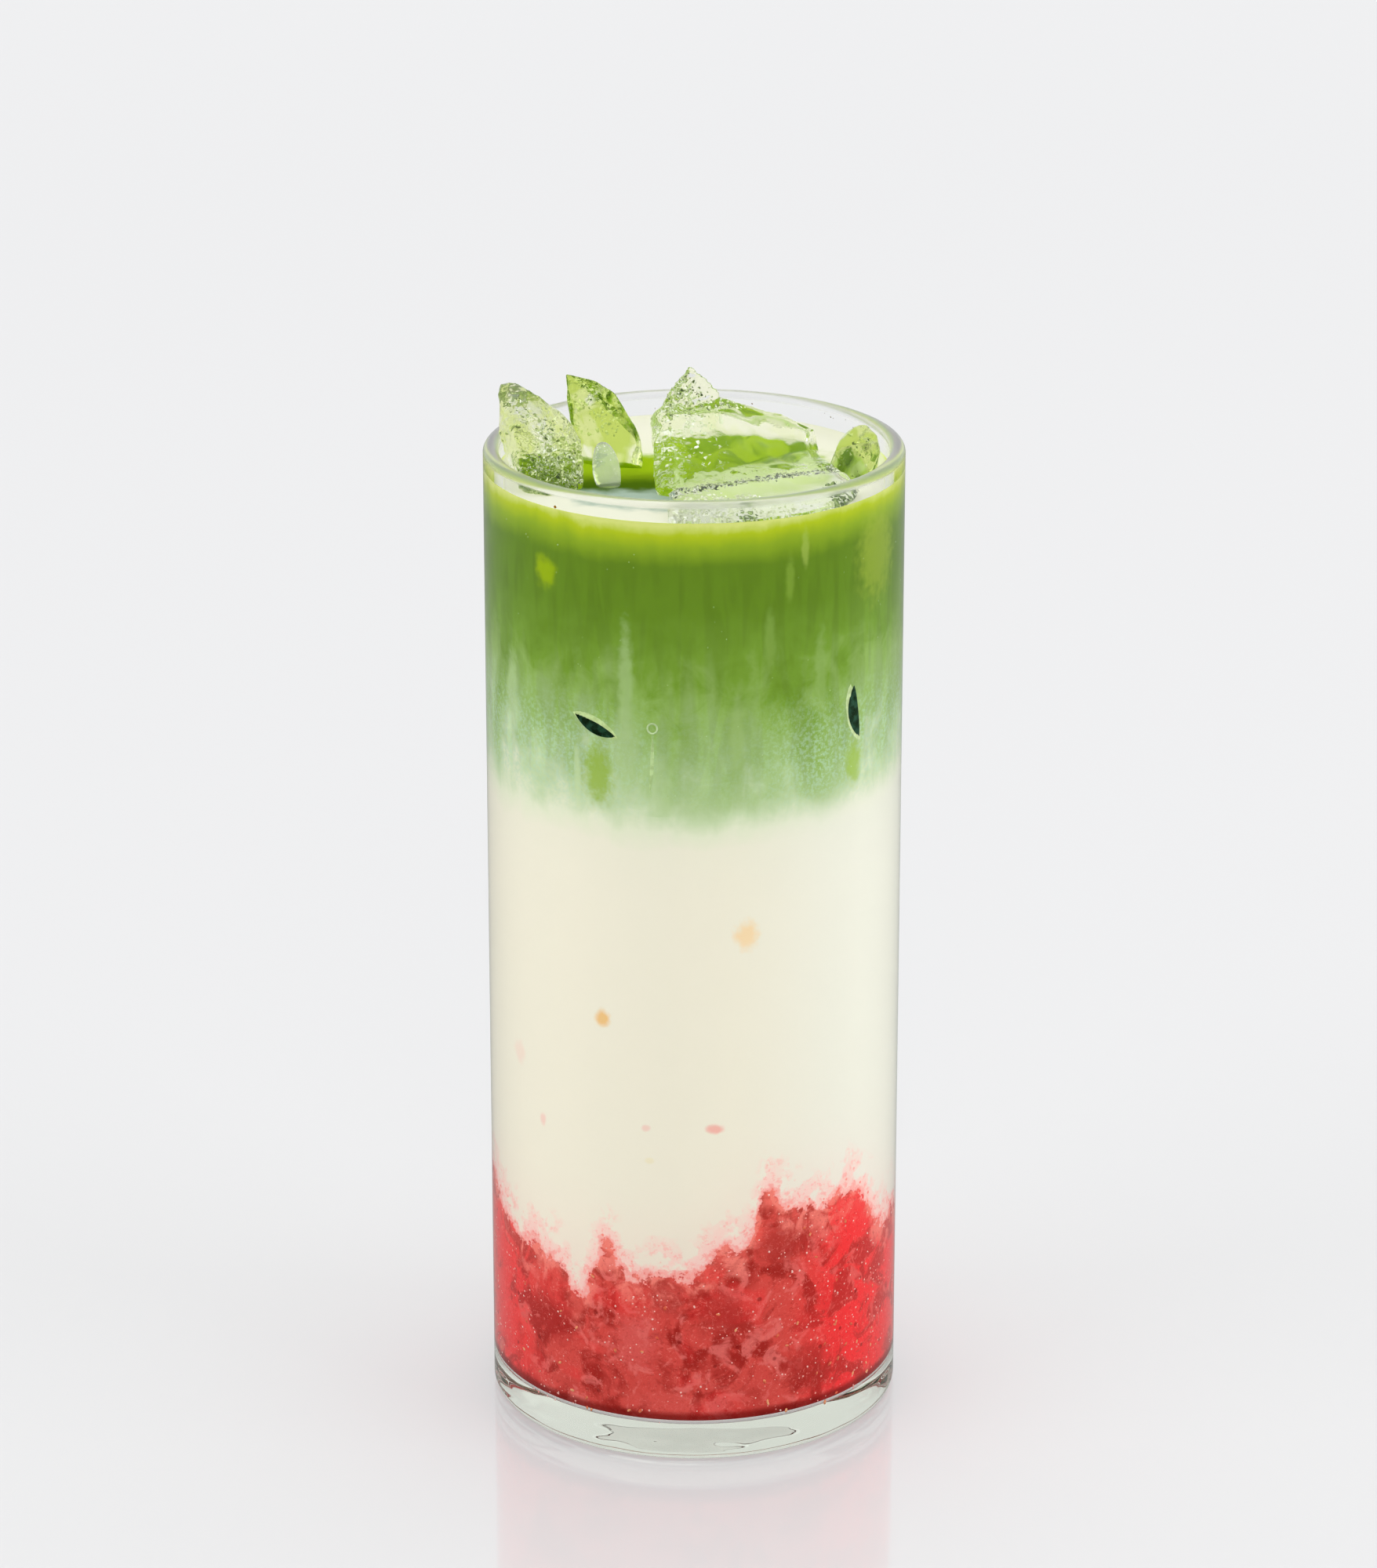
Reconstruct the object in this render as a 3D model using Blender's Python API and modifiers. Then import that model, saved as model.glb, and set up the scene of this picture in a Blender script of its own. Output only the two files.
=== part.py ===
"""An iced latte in a tall straight glass: strawberry puree, milk and matcha in layers, with ice.

Lengths in the tables below are millimetres. The origin is the middle of the underside of the glass,
+Z is up and -Y is the side that faces the viewer. Directions are degrees from the front, positive
towards +X.
"""
import math

import bmesh
import bpy
from mathutils import Vector, noise

MM = 0.001

# Driving dimensions of the glass
GLASS_RADIUS = 33.0
GLASS_HEIGHT = 160.0
WALL = 2.5
INNER_RADIUS = GLASS_RADIUS - WALL
FLOOR = 5.5
FOOT_ROUND = 1.8
INNER_ROUND = 2.0
PUNT_RADIUS = 22.0
PUNT_DEPTH = 0.8
GLASS_STEPS = 64

# Driving dimensions of the drink: each layer ends this high above the table
PUREE_TOP = 31.5
MILK_TOP = 108.5
DRINK_TOP = 155.2
FIT_GAP = 0.3
PUREE_GAP = 0.5
DRINK_RADIUS = INNER_RADIUS - FIT_GAP
DRINK_STEPS = 72
DRINK_RINGS = (9.0, 17.0, 24.0)

# The drink climbs the wall a little: distance from the wall and height over its level
MENISCUS = ((2.8, 0.0), (1.0, 0.35), (0.0, 1.1))

# Crests and dips of the puree along the wall: direction, rise, half width and steepness
PUREE_CRESTS = (
    (-84.0, 7.0, 14.0, 2),
    (-36.0, -6.0, 5.0, 2),
    (-26.0, 6.5, 4.5, 2),
    (9.0, 6.0, 5.0, 2),
    (21.0, 11.0, 5.5, 2),
    (43.0, 10.5, 21.0, 4),
    (135.0, 5.0, 24.0, 2),
    (-140.0, -3.5, 26.0, 2),
)
PUREE_LUMP = 2.4
PUREE_LUMP_SIZE = 8.0
MILK_WAVE = 0.8
MILK_WAVE_ACROSS = 2.2
MILK_WAVE_START = 0.6

# Ice has rounded edges, and the room for it in the matcha is its sharp form, grown this much
ICE_EDGE = 0.55
ICE_CLEARANCE = 0.7
NUB_CENTRE = (-13.6, -6.4, 157.4)
NUB_RADII = (2.2, 2.1, 4.6)
NUB_LEAN = (-14.0, -10.0, 0.0)

# Corners of each cleaved piece of ice, from its tip down to the part that is sunk
ICE_LEFT = (
    (-30.8, 2.2, 169.2), (-29.0, 4.2, 169.0), (-26.6, 4.2, 168.0), (-23.0, 2.6, 166.4),
    (-20.0, 0.8, 164.5), (-17.4, -3.0, 162.0), (-16.9, -6.4, 159.4), (-17.0, -8.8, 155.6),
    (-30.4, -0.4, 161.4), (-28.4, -3.0, 158.0), (-26.2, -11.8, 157.4), (-21.6, -14.0, 155.6),
    (-28.4, 6.0, 154.0), (-22.4, 1.6, 149.0), (-18.0, -7.6, 149.0), (-25.4, -10.0, 148.0),
)
ICE_FIN = (
    (-20.6, 6.2, 169.7), (-19.6, 6.8, 169.6), (-17.6, 6.8, 168.9), (-15.4, 6.6, 168.3),
    (-13.0, 6.2, 166.8), (-11.2, 5.6, 164.6), (-9.2, 5.0, 161.9), (-8.2, 3.4, 159.6),
    (-7.7, 1.6, 156.4), (-14.8, 2.6, 157.6), (-19.4, 6.2, 163.4), (-18.6, 9.6, 164.0),
    (-13.4, 10.6, 161.4), (-9.6, 9.0, 157.6), (-17.4, 11.4, 155.0), (-17.4, 6.6, 146.0),
    (-9.6, 5.8, 146.0),
)

# The large piece is a slab near the front wall, a wedge that leans on it and the wedge's peak
ICE_SLAB = (
    (6.8, 5.5, 158.3), (13.0, 6.0, 158.1), (18.6, 4.0, 157.8), (19.8, -1.4, 157.4),
    (23.0, -8.0, 157.3), (-4.0, -21.6, 158.2), (0.6, -19.4, 158.5), (5.3, -15.8, 158.5),
    (10.3, -12.2, 158.5), (17.0, -9.6, 158.5), (23.3, -10.6, 158.1), (-3.8, -28.4, 156.0),
    (2.0, -29.0, 156.1), (8.0, -28.2, 156.2), (15.6, -24.8, 156.2), (22.4, -18.6, 156.1),
    (25.2, -13.6, 156.2), (-2.6, -23.6, 151.6), (5.0, -26.6, 150.6), (17.6, -20.6, 150.6),
    (21.4, -12.6, 151.4), (18.0, 2.0, 153.0), (6.0, 4.0, 153.0), (-2.4, -10.0, 152.6),
)
ICE_WEDGE = (
    (-6.0, 1.0, 165.3), (-7.2, 0.0, 164.1), (-7.0, -0.4, 161.8), (-6.3, -3.4, 159.4),
    (-5.8, -12.6, 156.2), (-3.0, -14.6, 156.6), (4.6, -9.4, 158.2), (-4.3, 2.0, 166.6),
    (4.1, 6.0, 165.9), (5.6, 6.6, 165.2), (14.0, 7.4, 162.6), (19.2, 7.2, 160.3),
    (19.4, 4.0, 157.6), (6.8, 3.0, 159.0), (-4.4, 9.6, 160.0), (5.0, 12.6, 157.6),
    (16.6, 12.4, 156.6), (-4.2, -8.6, 147.0), (15.0, 9.6, 147.0), (-3.0, 9.0, 146.0),
    (14.6, -2.0, 147.0),
)
ICE_PEAK = (
    (-0.9, 3.4, 171.6), (-0.3, 4.0, 171.5), (-5.4, 1.4, 166.0), (-2.4, -0.6, 164.0),
    (3.0, 3.4, 165.2), (4.4, 5.8, 166.6), (1.0, 4.6, 169.4), (-1.0, 6.6, 165.0),
    (-1.0, 3.6, 162.0),
)
ICE_RIGHT = (
    (21.2, 1.6, 155.6), (22.4, 3.0, 159.2), (25.4, 4.2, 162.0), (27.2, 4.4, 161.9),
    (28.8, 2.2, 160.5), (29.2, -1.4, 159.2), (28.0, -4.6, 157.2), (24.8, -4.8, 155.8),
    (23.2, 9.0, 158.0), (26.8, 9.8, 158.6), (23.0, 2.4, 150.0), (27.0, -2.0, 150.0),
    (25.8, 7.4, 150.0),
)
ICE_PARTS_IN_DRINK = {
    "left": ICE_LEFT, "fin": ICE_FIN, "slab": ICE_SLAB, "wedge": ICE_WEDGE, "right": ICE_RIGHT,
}


def clear_scene():
    """Takes out whatever the file holds."""
    for obj in list(bpy.data.objects):
        bpy.data.objects.remove(obj, do_unlink=True)


def new_collection(name):
    collection = bpy.data.collections.new(name)
    bpy.context.scene.collection.children.link(collection)
    return collection


def new_object(name, mesh, collection, material=None):
    obj = bpy.data.objects.new(name, mesh)
    collection.objects.link(obj)
    if material:
        mesh.materials.append(material)
    return obj


def principled(name, color, roughness, ior=1.45, transmission=0.0):
    """A plain finish for one sub-part."""
    material = bpy.data.materials.new(name)
    material.use_nodes = True
    material.diffuse_color = (*color, 1.0)
    shader = material.node_tree.nodes["Principled BSDF"]
    shader.inputs["Base Color"].default_value = (*color, 1.0)
    shader.inputs["Roughness"].default_value = roughness
    shader.inputs["Metallic"].default_value = 0.0
    shader.inputs["IOR"].default_value = ior
    shader.inputs["Transmission Weight"].default_value = transmission
    return material


def arc(centre, radius, start, end, count):
    """Points (radius, height) on a circle in the profile's plane, from start to end in degrees."""
    points = []
    for i in range(count + 1):
        angle = math.radians(start + (end - start) * i / count)
        points.append((centre[0] + radius * math.cos(angle), centre[1] + radius * math.sin(angle)))
    return points


def turned(name, profile, steps, collection, material):
    """A turned solid. Its profile, in millimetres, runs down its outer side."""
    mesh = bpy.data.meshes.new(name)
    vertices = [(radius * MM, 0.0, height * MM) for radius, height in profile]
    edges = [(i, i + 1) for i in range(len(profile) - 1)]
    mesh.from_pydata(vertices, edges, [])
    obj = new_object(name, mesh, collection, material)
    screw = obj.modifiers.new("Turn", "SCREW")
    screw.axis = "Z"
    screw.steps = steps
    screw.render_steps = steps
    screw.use_merge_vertices = True
    screw.merge_threshold = 0.01 * MM
    return obj


def settle(obj, sharp_angle=35.0):
    """Keeps the modifiers' result as the object's own mesh, smooth except at real edges."""
    depsgraph = bpy.context.evaluated_depsgraph_get()
    depsgraph.update()
    mesh = bpy.data.meshes.new_from_object(obj.evaluated_get(depsgraph), depsgraph=depsgraph)
    obj.modifiers.clear()
    obj.data = mesh
    mesh.shade_smooth()
    mesh.set_sharp_from_angle(angle=math.radians(sharp_angle))


def puree_height(x, y):
    """Height of the puree's uneven top, highest along the wall where the milk washed round it."""
    direction = math.degrees(math.atan2(x, -y))
    outwards = min(1.0, math.hypot(x, y) / INNER_RADIUS) ** 2
    height = PUREE_TOP
    for centre, rise, half_width, steepness in PUREE_CRESTS:
        away = abs((direction - centre + 180.0) % 360.0 - 180.0)
        height += outwards * rise * math.exp(-((away / half_width) ** steepness))
    lump = noise.noise(Vector((x, y, 0.0)) / PUREE_LUMP_SIZE)
    return height + PUREE_LUMP * lump


def milk_height(x, y):
    """Height of the milk's top, which tilts and swells a little under the matcha."""
    swell = math.sin(MILK_WAVE_ACROSS * x / INNER_RADIUS + MILK_WAVE_START)
    tilt = -y / (2 * INNER_RADIUS)
    return MILK_TOP + MILK_WAVE * (swell + tilt)


def lift(obj, flat_height, rule, gap):
    """Moves a flat end, at flat_height, to the height that the rule gives.

    Each of its faces is then split along its shorter diagonal, so that two layers that meet there
    are split alike and keep their gap.
    """
    shape = bmesh.new()
    shape.from_mesh(obj.data)
    moved = [v for v in shape.verts if abs(v.co.z - flat_height * MM) < 0.01 * MM]
    for vertex in moved:
        vertex.co.z = (rule(vertex.co.x / MM, vertex.co.y / MM) + gap) * MM
    moved = set(moved)
    end_faces = [face for face in shape.faces if moved.issuperset(face.verts)]
    bmesh.ops.triangulate(shape, faces=end_faces, quad_method="SHORT_EDGE")
    shape.to_mesh(obj.data)
    shape.free()


def make_glass(collection, material):
    """The glass: a thick floor, a slightly hollow foot and a fire-polished rim."""
    rim = WALL / 2
    profile = [(0.0, FLOOR), (INNER_RADIUS / 2, FLOOR)]
    profile += arc((INNER_RADIUS - INNER_ROUND, FLOOR + INNER_ROUND), INNER_ROUND, -90.0, 0.0, 4)
    profile += arc((INNER_RADIUS + rim, GLASS_HEIGHT - rim), rim, 180.0, 0.0, 6)
    profile += arc((GLASS_RADIUS - FOOT_ROUND, FOOT_ROUND), FOOT_ROUND, 0.0, -90.0, 4)
    profile += [(PUNT_RADIUS + 2 * PUNT_DEPTH, 0.0), (PUNT_RADIUS, PUNT_DEPTH), (0.0, PUNT_DEPTH)]
    glass = turned("glass", profile, GLASS_STEPS, collection, material)
    settle(glass)


def make_layer(name, bottom, top, collection, material, edge=((0.0, 0.0),)):
    """One layer of the drink as a turned block, with rings across its two ends.

    The edge gives the outer points of its top: distance from the wall and rise.
    """
    profile = [(0.0, top)] + [(ring, top) for ring in DRINK_RINGS]
    profile += [(DRINK_RADIUS - away, top + rise) for away, rise in edge]
    profile.append((DRINK_RADIUS, bottom))
    profile += [(ring, bottom) for ring in reversed(DRINK_RINGS)] + [(0.0, bottom)]
    layer = turned(name, profile, DRINK_STEPS, collection, material)
    settle(layer)
    return layer


def make_puree(collection, material):
    """The puree stands on the glass's floor, so its foot follows the round inside the glass."""
    floor = FLOOR + FIT_GAP
    profile = [(0.0, PUREE_TOP)] + [(ring, PUREE_TOP) for ring in DRINK_RINGS]
    profile.append((DRINK_RADIUS, PUREE_TOP))
    profile += arc((DRINK_RADIUS - INNER_ROUND, floor + INNER_ROUND), INNER_ROUND, 0.0, -90.0, 4)
    profile += [(DRINK_RINGS[0], floor), (0.0, floor)]
    puree = turned("strawberry_puree", profile, DRINK_STEPS, collection, material)
    settle(puree)
    lift(puree, PUREE_TOP, puree_height, 0.0)


def shard(name, corners, collection, material=None):
    """A cleaved piece of ice: the hull of its corners."""
    mesh = bpy.data.meshes.new(name)
    hull = bmesh.new()
    for corner in corners:
        hull.verts.new(Vector(corner) * MM)
    result = bmesh.ops.convex_hull(hull, input=hull.verts)
    inside = [item for item in result["geom_interior"] if isinstance(item, bmesh.types.BMVert)]
    bmesh.ops.delete(hull, geom=inside, context="VERTS")
    bmesh.ops.dissolve_limit(hull, angle_limit=math.radians(4.0), verts=hull.verts, edges=hull.edges)
    bmesh.ops.recalc_face_normals(hull, faces=hull.faces)
    hull.to_mesh(mesh)
    hull.free()
    return new_object(name, mesh, collection, material)


def melt_edges(obj):
    """Rounds a piece's edges as melting does."""
    bevel = obj.modifiers.new("Melted edges", "BEVEL")
    bevel.width = ICE_EDGE * MM
    bevel.segments = 2
    bevel.limit_method = "ANGLE"
    bevel.angle_limit = math.radians(12.0)


def make_large_ice(collection, material):
    """The largest piece: slab, wedge and peak, frozen together as one."""
    large = shard("ice_large", ICE_SLAB, collection, material)
    joined = [shard("wedge", ICE_WEDGE, collection), shard("peak", ICE_PEAK, collection)]
    for part in joined:
        join = large.modifiers.new("Join " + part.name, "BOOLEAN")
        join.operation = "UNION"
        join.object = part
    settle(large)
    for part in joined:
        bpy.data.objects.remove(part, do_unlink=True)
    return large


def make_nub(collection, material):
    """A small round knob of ice between two pieces."""
    bpy.ops.mesh.primitive_uv_sphere_add(
        segments=16, ring_count=10, radius=MM, location=[value * MM for value in NUB_CENTRE],
        rotation=[math.radians(angle) for angle in NUB_LEAN])
    nub = bpy.context.object
    nub.name = "ice_nub"
    nub.scale = NUB_RADII
    bpy.ops.object.transform_apply(location=True, rotation=True, scale=True)
    nub.data.shade_smooth()
    nub.data.materials.append(material)
    for owner in list(nub.users_collection):
        owner.objects.unlink(nub)
    collection.objects.link(nub)
    return nub


def make_cleaved_ice(collection, material):
    """The flat-sided pieces of ice that stand out of the drink, their edges rounded."""
    pieces = [make_large_ice(collection, material)]
    for name, corners in (("ice_left", ICE_LEFT), ("ice_fin", ICE_FIN), ("ice_right", ICE_RIGHT)):
        pieces.append(shard(name, corners, collection, material))
    for piece in pieces:
        melt_edges(piece)
        settle(piece, sharp_angle=25.0)


def cut_round_ice(matcha, nub, cutters):
    """Leaves room in the matcha for each piece of ice, grown a little along its normals."""
    rooms = [new_object("nub_room", nub.data.copy(), cutters)]
    for name, corners in ICE_PARTS_IN_DRINK.items():
        rooms.append(shard(name + "_room", corners, cutters))
    for room in rooms:
        room.hide_render = True
        room.display_type = "WIRE"
        grow = room.modifiers.new("Clearance", "DISPLACE")
        grow.mid_level = 0.0
        grow.strength = ICE_CLEARANCE * MM
    cut = matcha.modifiers.new("Room for ice", "BOOLEAN")
    cut.operation = "DIFFERENCE"
    cut.operand_type = "COLLECTION"
    cut.collection = cutters


def main():
    clear_scene()
    drink = new_collection("iced_matcha_latte")
    cutters = new_collection("cutters")
    clear_glass = principled("clear_glass", (0.90, 0.97, 0.94), 0.03, 1.5, 1.0)
    red_puree = principled("strawberry_puree", (0.62, 0.045, 0.04), 0.35)
    cream_milk = principled("milk", (0.80, 0.76, 0.62), 0.3)
    green_tea = principled("matcha", (0.16, 0.26, 0.03), 0.3)
    clear_ice = principled("ice", (0.86, 0.93, 0.84), 0.08, 1.31, 0.9)

    make_glass(drink, clear_glass)
    make_puree(drink, red_puree)
    milk = make_layer("milk", PUREE_TOP, MILK_TOP, drink, cream_milk)
    lift(milk, PUREE_TOP, puree_height, PUREE_GAP)
    lift(milk, MILK_TOP, milk_height, 0.0)
    matcha = make_layer("matcha", MILK_TOP, DRINK_TOP, drink, green_tea, MENISCUS)
    lift(matcha, MILK_TOP, milk_height, FIT_GAP)
    make_cleaved_ice(drink, clear_ice)
    nub = make_nub(drink, clear_ice)
    cut_round_ice(matcha, nub, cutters)


main()
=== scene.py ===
# %% [markdown]
# An iced latte in a tall glass, dressed for its photograph.
#
# The solids of the glass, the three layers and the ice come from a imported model. They have the
# right sizes and stand where they should, but their finish is plain. This lesson rebuilds each of
# them with a fine surface and a real finish: clear glass, milk stained by tea and by fruit, and ice
# with facets that bend the light.

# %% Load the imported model
import math
import random

import bmesh
import bpy
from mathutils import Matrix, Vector, noise


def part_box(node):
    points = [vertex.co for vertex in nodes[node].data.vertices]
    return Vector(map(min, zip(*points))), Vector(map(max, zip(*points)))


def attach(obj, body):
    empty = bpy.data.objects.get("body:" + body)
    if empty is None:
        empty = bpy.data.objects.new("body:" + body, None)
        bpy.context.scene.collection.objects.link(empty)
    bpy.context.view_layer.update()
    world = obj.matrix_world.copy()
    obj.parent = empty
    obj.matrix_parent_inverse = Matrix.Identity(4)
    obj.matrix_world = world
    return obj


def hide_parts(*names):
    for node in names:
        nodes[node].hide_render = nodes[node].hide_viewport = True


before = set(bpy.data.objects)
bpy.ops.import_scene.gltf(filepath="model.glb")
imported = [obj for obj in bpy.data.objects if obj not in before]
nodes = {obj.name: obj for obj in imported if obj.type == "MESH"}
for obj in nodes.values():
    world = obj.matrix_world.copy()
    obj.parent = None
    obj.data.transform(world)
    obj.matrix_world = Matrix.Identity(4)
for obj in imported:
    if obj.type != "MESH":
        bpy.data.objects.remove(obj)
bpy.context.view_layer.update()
bpy.ops.object.select_all(action="DESELECT")
print("Packed nodes:", ", ".join(sorted(nodes)))

# %% [markdown]
# Sizes. What the model knows is read from it, and what it can't tell, such as the thickness of the
# wall, is repeated here as a named value. Blender works in metres, so a millimetre is 0.001.

# %% Sizes of the glass and the drink
MM = 0.001
GLASS_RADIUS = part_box("glass")[1].x
GLASS_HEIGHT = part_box("glass")[1].z
WALL = 2.5 * MM
INNER_RADIUS = GLASS_RADIUS - WALL
FLOOR = 5.5 * MM
ROUND_STEPS = 240
INTO_WALL = 0.05 * MM
DRINK_RADIUS = INNER_RADIUS + INTO_WALL
DRINK_BOTTOM = FLOOR + 0.1 * MM
DRINK_TOP = 155.2 * MM
print(f"Glass {2 * GLASS_RADIUS / MM:.0f} mm across, {GLASS_HEIGHT / MM:.0f} mm high")

# %% [markdown]
# The camera. A long lens from 82 cm away looks down on the glass by about 19 degrees, so the rim
# is a flat ellipse and the sides hardly lean in. The long side of the picture takes the sensor's
# 36 mm.

# %% Camera
CAMERA_PLACE = (-0.885 * MM, -820.0 * MM, 393.24 * MM)
CAMERA_PITCH = 19.456
LENS = 125.15

bpy.ops.object.camera_add(location=CAMERA_PLACE, rotation=(math.radians(90 - CAMERA_PITCH), 0, 0))
camera = bpy.context.object
camera.name = "camera"
camera.data.lens = LENS
camera.data.clip_start = 0.05
camera.data.clip_end = 50
bpy.context.scene.camera = camera
print("Camera looks down by", CAMERA_PITCH, "degrees")

# %% [markdown]
# Two small helpers open one piece for editing with nothing selected and pick faces by their place
# and the way they face. Operators act on all that is selected, so this care saves surprises.

# %% Helpers for modelling
def take(piece):
    """Makes this the only selected and active object."""
    bpy.ops.object.select_all(action="DESELECT")
    bpy.context.view_layer.objects.active = piece
    piece.select_set(True)


def open_mesh(piece):
    """Opens one piece in edit mode with nothing selected in it."""
    take(piece)
    bpy.ops.object.mode_set(mode="EDIT")
    bpy.ops.mesh.select_all(action="DESELECT")


def close_mesh():
    bpy.ops.object.mode_set(mode="OBJECT")


def pick_faces(piece, wanted):
    """Selects the faces whose middle and normal pass the test, and nothing else."""
    bpy.ops.mesh.select_mode(type="FACE")
    bpy.ops.mesh.select_all(action="DESELECT")
    cage = bmesh.from_edit_mesh(piece.data)
    for face in cage.faces:
        if wanted(face.calc_center_median(), face.normal):
            face.select_set(True)
    bmesh.update_edit_mesh(piece.data)


def pick_rings(piece, wanted):
    """Selects the edges that run round the axis and whose ends pass the test, and nothing else."""
    bpy.ops.mesh.select_mode(type="EDGE")
    bpy.ops.mesh.select_all(action="DESELECT")
    cage = bmesh.from_edit_mesh(piece.data)
    for edge in cage.edges:
        one, two = [vertex.co for vertex in edge.verts]
        if abs(one.xy.length - two.xy.length) < 0.01 * MM and wanted(one) and wanted(two):
            edge.select_set(True)
    bmesh.update_edit_mesh(piece.data)


def use_modifier(piece, kind, **settings):
    """Adds one modifier with these settings and applies it."""
    take(piece)
    modifier = piece.modifiers.new(kind.title(), kind)
    for name, value in settings.items():
        setattr(modifier, name, value)
    bpy.ops.object.modifier_apply(modifier=modifier.name)


def smooth(piece, angle=30.0):
    take(piece)
    bpy.ops.object.shade_smooth_by_angle(angle=math.radians(angle))


def belongs(piece, slot, *replaced):
    """Puts a finished piece on the body and hides what it replaces. The slot is not used."""
    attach(piece, "root")
    if replaced:
        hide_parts(*replaced)
    print(f"{piece.name}: {len(piece.data.polygons)} faces")


# %% [markdown]
# Helpers for finishes. A material is a tree of nodes. One helper adds a node and fills its input
# sockets with values or with links, and the others are short names for the nodes used most.

# %% Helpers for materials
def add_node(tree, kind, sockets=None, **settings):
    """Adds a node, sets its properties, and gives its input sockets values or links."""
    made = tree.nodes.new("ShaderNode" + kind)
    for name, value in settings.items():
        setattr(made, name, value)
    for socket, value in (sockets or {}).items():
        if isinstance(value, bpy.types.NodeSocket):
            tree.links.new(value, made.inputs[socket])
        else:
            made.inputs[socket].default_value = value
    return made


def calc(tree, operation, first, second=0.0, third=0.0):
    """A Math node's result."""
    node = add_node(tree, "Math", {0: first, 1: second, 2: third}, operation=operation)
    return node.outputs[0]


def fade(tree, value, start, end, low=0.0, high=1.0):
    """A soft step: low where the value is at start, high where it is at end."""
    sockets = {"Value": value, "From Min": start, "From Max": end, "To Min": low, "To Max": high}
    node = add_node(tree, "MapRange", sockets, interpolation_type="SMOOTHSTEP")
    return node.outputs["Result"]


def mix_colours(tree, factor, first, second, way="MIX"):
    """Two colours mixed by a factor."""
    node = add_node(tree, "Mix", data_type="RGBA", blend_type=way)
    for index, value in ((0, factor), (6, first), (7, second)):
        if isinstance(value, bpy.types.NodeSocket):
            tree.links.new(value, node.inputs[index])
        else:
            node.inputs[index].default_value = value
    return node.outputs[2]


def noise_at(tree, place, scale, detail=2.0, roughness=0.5, distortion=0.0):
    """Soft noise from 0 to 1."""
    sockets = {"Vector": place, "Scale": scale, "Detail": detail, "Roughness": roughness}
    sockets["Distortion"] = distortion
    return add_node(tree, "TexNoise", sockets).outputs["Fac"]


def stretched(tree, place, scale):
    """The place with each axis scaled, which stretches a pattern along the axes under 1."""
    node = add_node(tree, "VectorMath", {0: place, 1: scale}, operation="MULTIPLY")
    return node.outputs[0]


def place_in_mm(tree):
    """The point of the surface, in millimetres, in the frame that the piece is modelled in."""
    coordinates = add_node(tree, "TexCoord")
    return stretched(tree, coordinates.outputs["Object"], (1 / MM, 1 / MM, 1 / MM))


def new_group(name, inputs, outputs):
    """An empty node group with named sockets: its tree, its input node and its output node."""
    tree = bpy.data.node_groups.new(name, "ShaderNodeTree")
    for label, kind, value in inputs:
        socket = tree.interface.new_socket(name=label, in_out="INPUT", socket_type=kind)
        if value is not None:
            socket.default_value = value
    for label, kind in outputs:
        tree.interface.new_socket(name=label, in_out="OUTPUT", socket_type=kind)
    return tree, tree.nodes.new("NodeGroupInput"), tree.nodes.new("NodeGroupOutput")


def use_group(tree, group, sockets):
    """Places a group in a tree and gives its inputs values or links."""
    node = tree.nodes.new("ShaderNodeGroup")
    node.node_tree = group
    for name, value in sockets.items():
        if isinstance(value, bpy.types.NodeSocket):
            tree.links.new(value, node.inputs[name])
        else:
            node.inputs[name].default_value = value
    return node


def new_material(name):
    """A material with a Principled shader: the material, its tree and the shader."""
    material = bpy.data.materials.new(name)
    material.use_nodes = True
    return material, material.node_tree, material.node_tree.nodes["Principled BSDF"]


def linear(red, green, blue):
    """A colour as a screen shows it, 0 to 255, turned into the numbers that light adds up in."""
    shares = [value / 255 for value in (red, green, blue)]
    return tuple(s / 12.92 if s <= 0.04045 else ((s + 0.055) / 1.055) ** 2.4 for s in shares)


def let_lamps_through(tree, shader, colour):
    """Lets the rays that look for a lamp pass straight through, so that what is behind is lit."""
    ray = add_node(tree, "LightPath").outputs["Is Shadow Ray"]
    clear = add_node(tree, "BsdfTransparent", {"Color": colour})
    both = add_node(tree, "MixShader", {0: ray, 1: shader.outputs[0], 2: clear.outputs[0]})
    tree.links.new(both.outputs[0], tree.nodes["Material Output"].inputs["Surface"])


VEIL = 0.012
FIRST_SHARE = 0.70
BOUNCED_SHARE = 0.185


def behind_glass(red, green, blue):
    """The base colour that a liquid needs to be seen as this colour through its glass.

    The glass adds a thin veil of reflected light. Of the light that the liquid sends out, one share
    leaves the glass at once, and another is thrown back inside the wall and meets the liquid
    again. So seen = VEIL + base * (FIRST_SHARE + BOUNCED_SHARE * base), solved here for the base.
    """
    base = []
    for value in linear(red, green, blue):
        under_root = FIRST_SHARE ** 2 + 4 * BOUNCED_SHARE * max(0.0, value - VEIL)
        base.append((math.sqrt(under_root) - FIRST_SHARE) / (2 * BOUNCED_SHARE))
    return (*base, 1.0)


# %% [markdown]
# The studio. The photograph has a plain pale ground without a horizon and light from all sides, so
# the floor is large and slightly glossy, the world is a pale dome that is brighter overhead, and
# four soft boxes light the drink from above, from both sides and from the front.

# %% Floor, dome and lamps
FLOOR_SIZE = 14.0
FLOOR_DROP = 0.03 * MM
FLOOR_COLOUR = (0.46, 0.46, 0.465)
FLOOR_GLOW = (0.264, 0.265, 0.268)
DOME_TOP = (1.0, 1.0, 1.0, 1.0)
DOME_LOW = (0.93, 0.935, 0.95, 1.0)
DOME_BEHIND_CAMERA = (0.62, 0.625, 0.63, 1.0)
DOME_BELOW = (0.40, 0.41, 0.40, 1.0)

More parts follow.
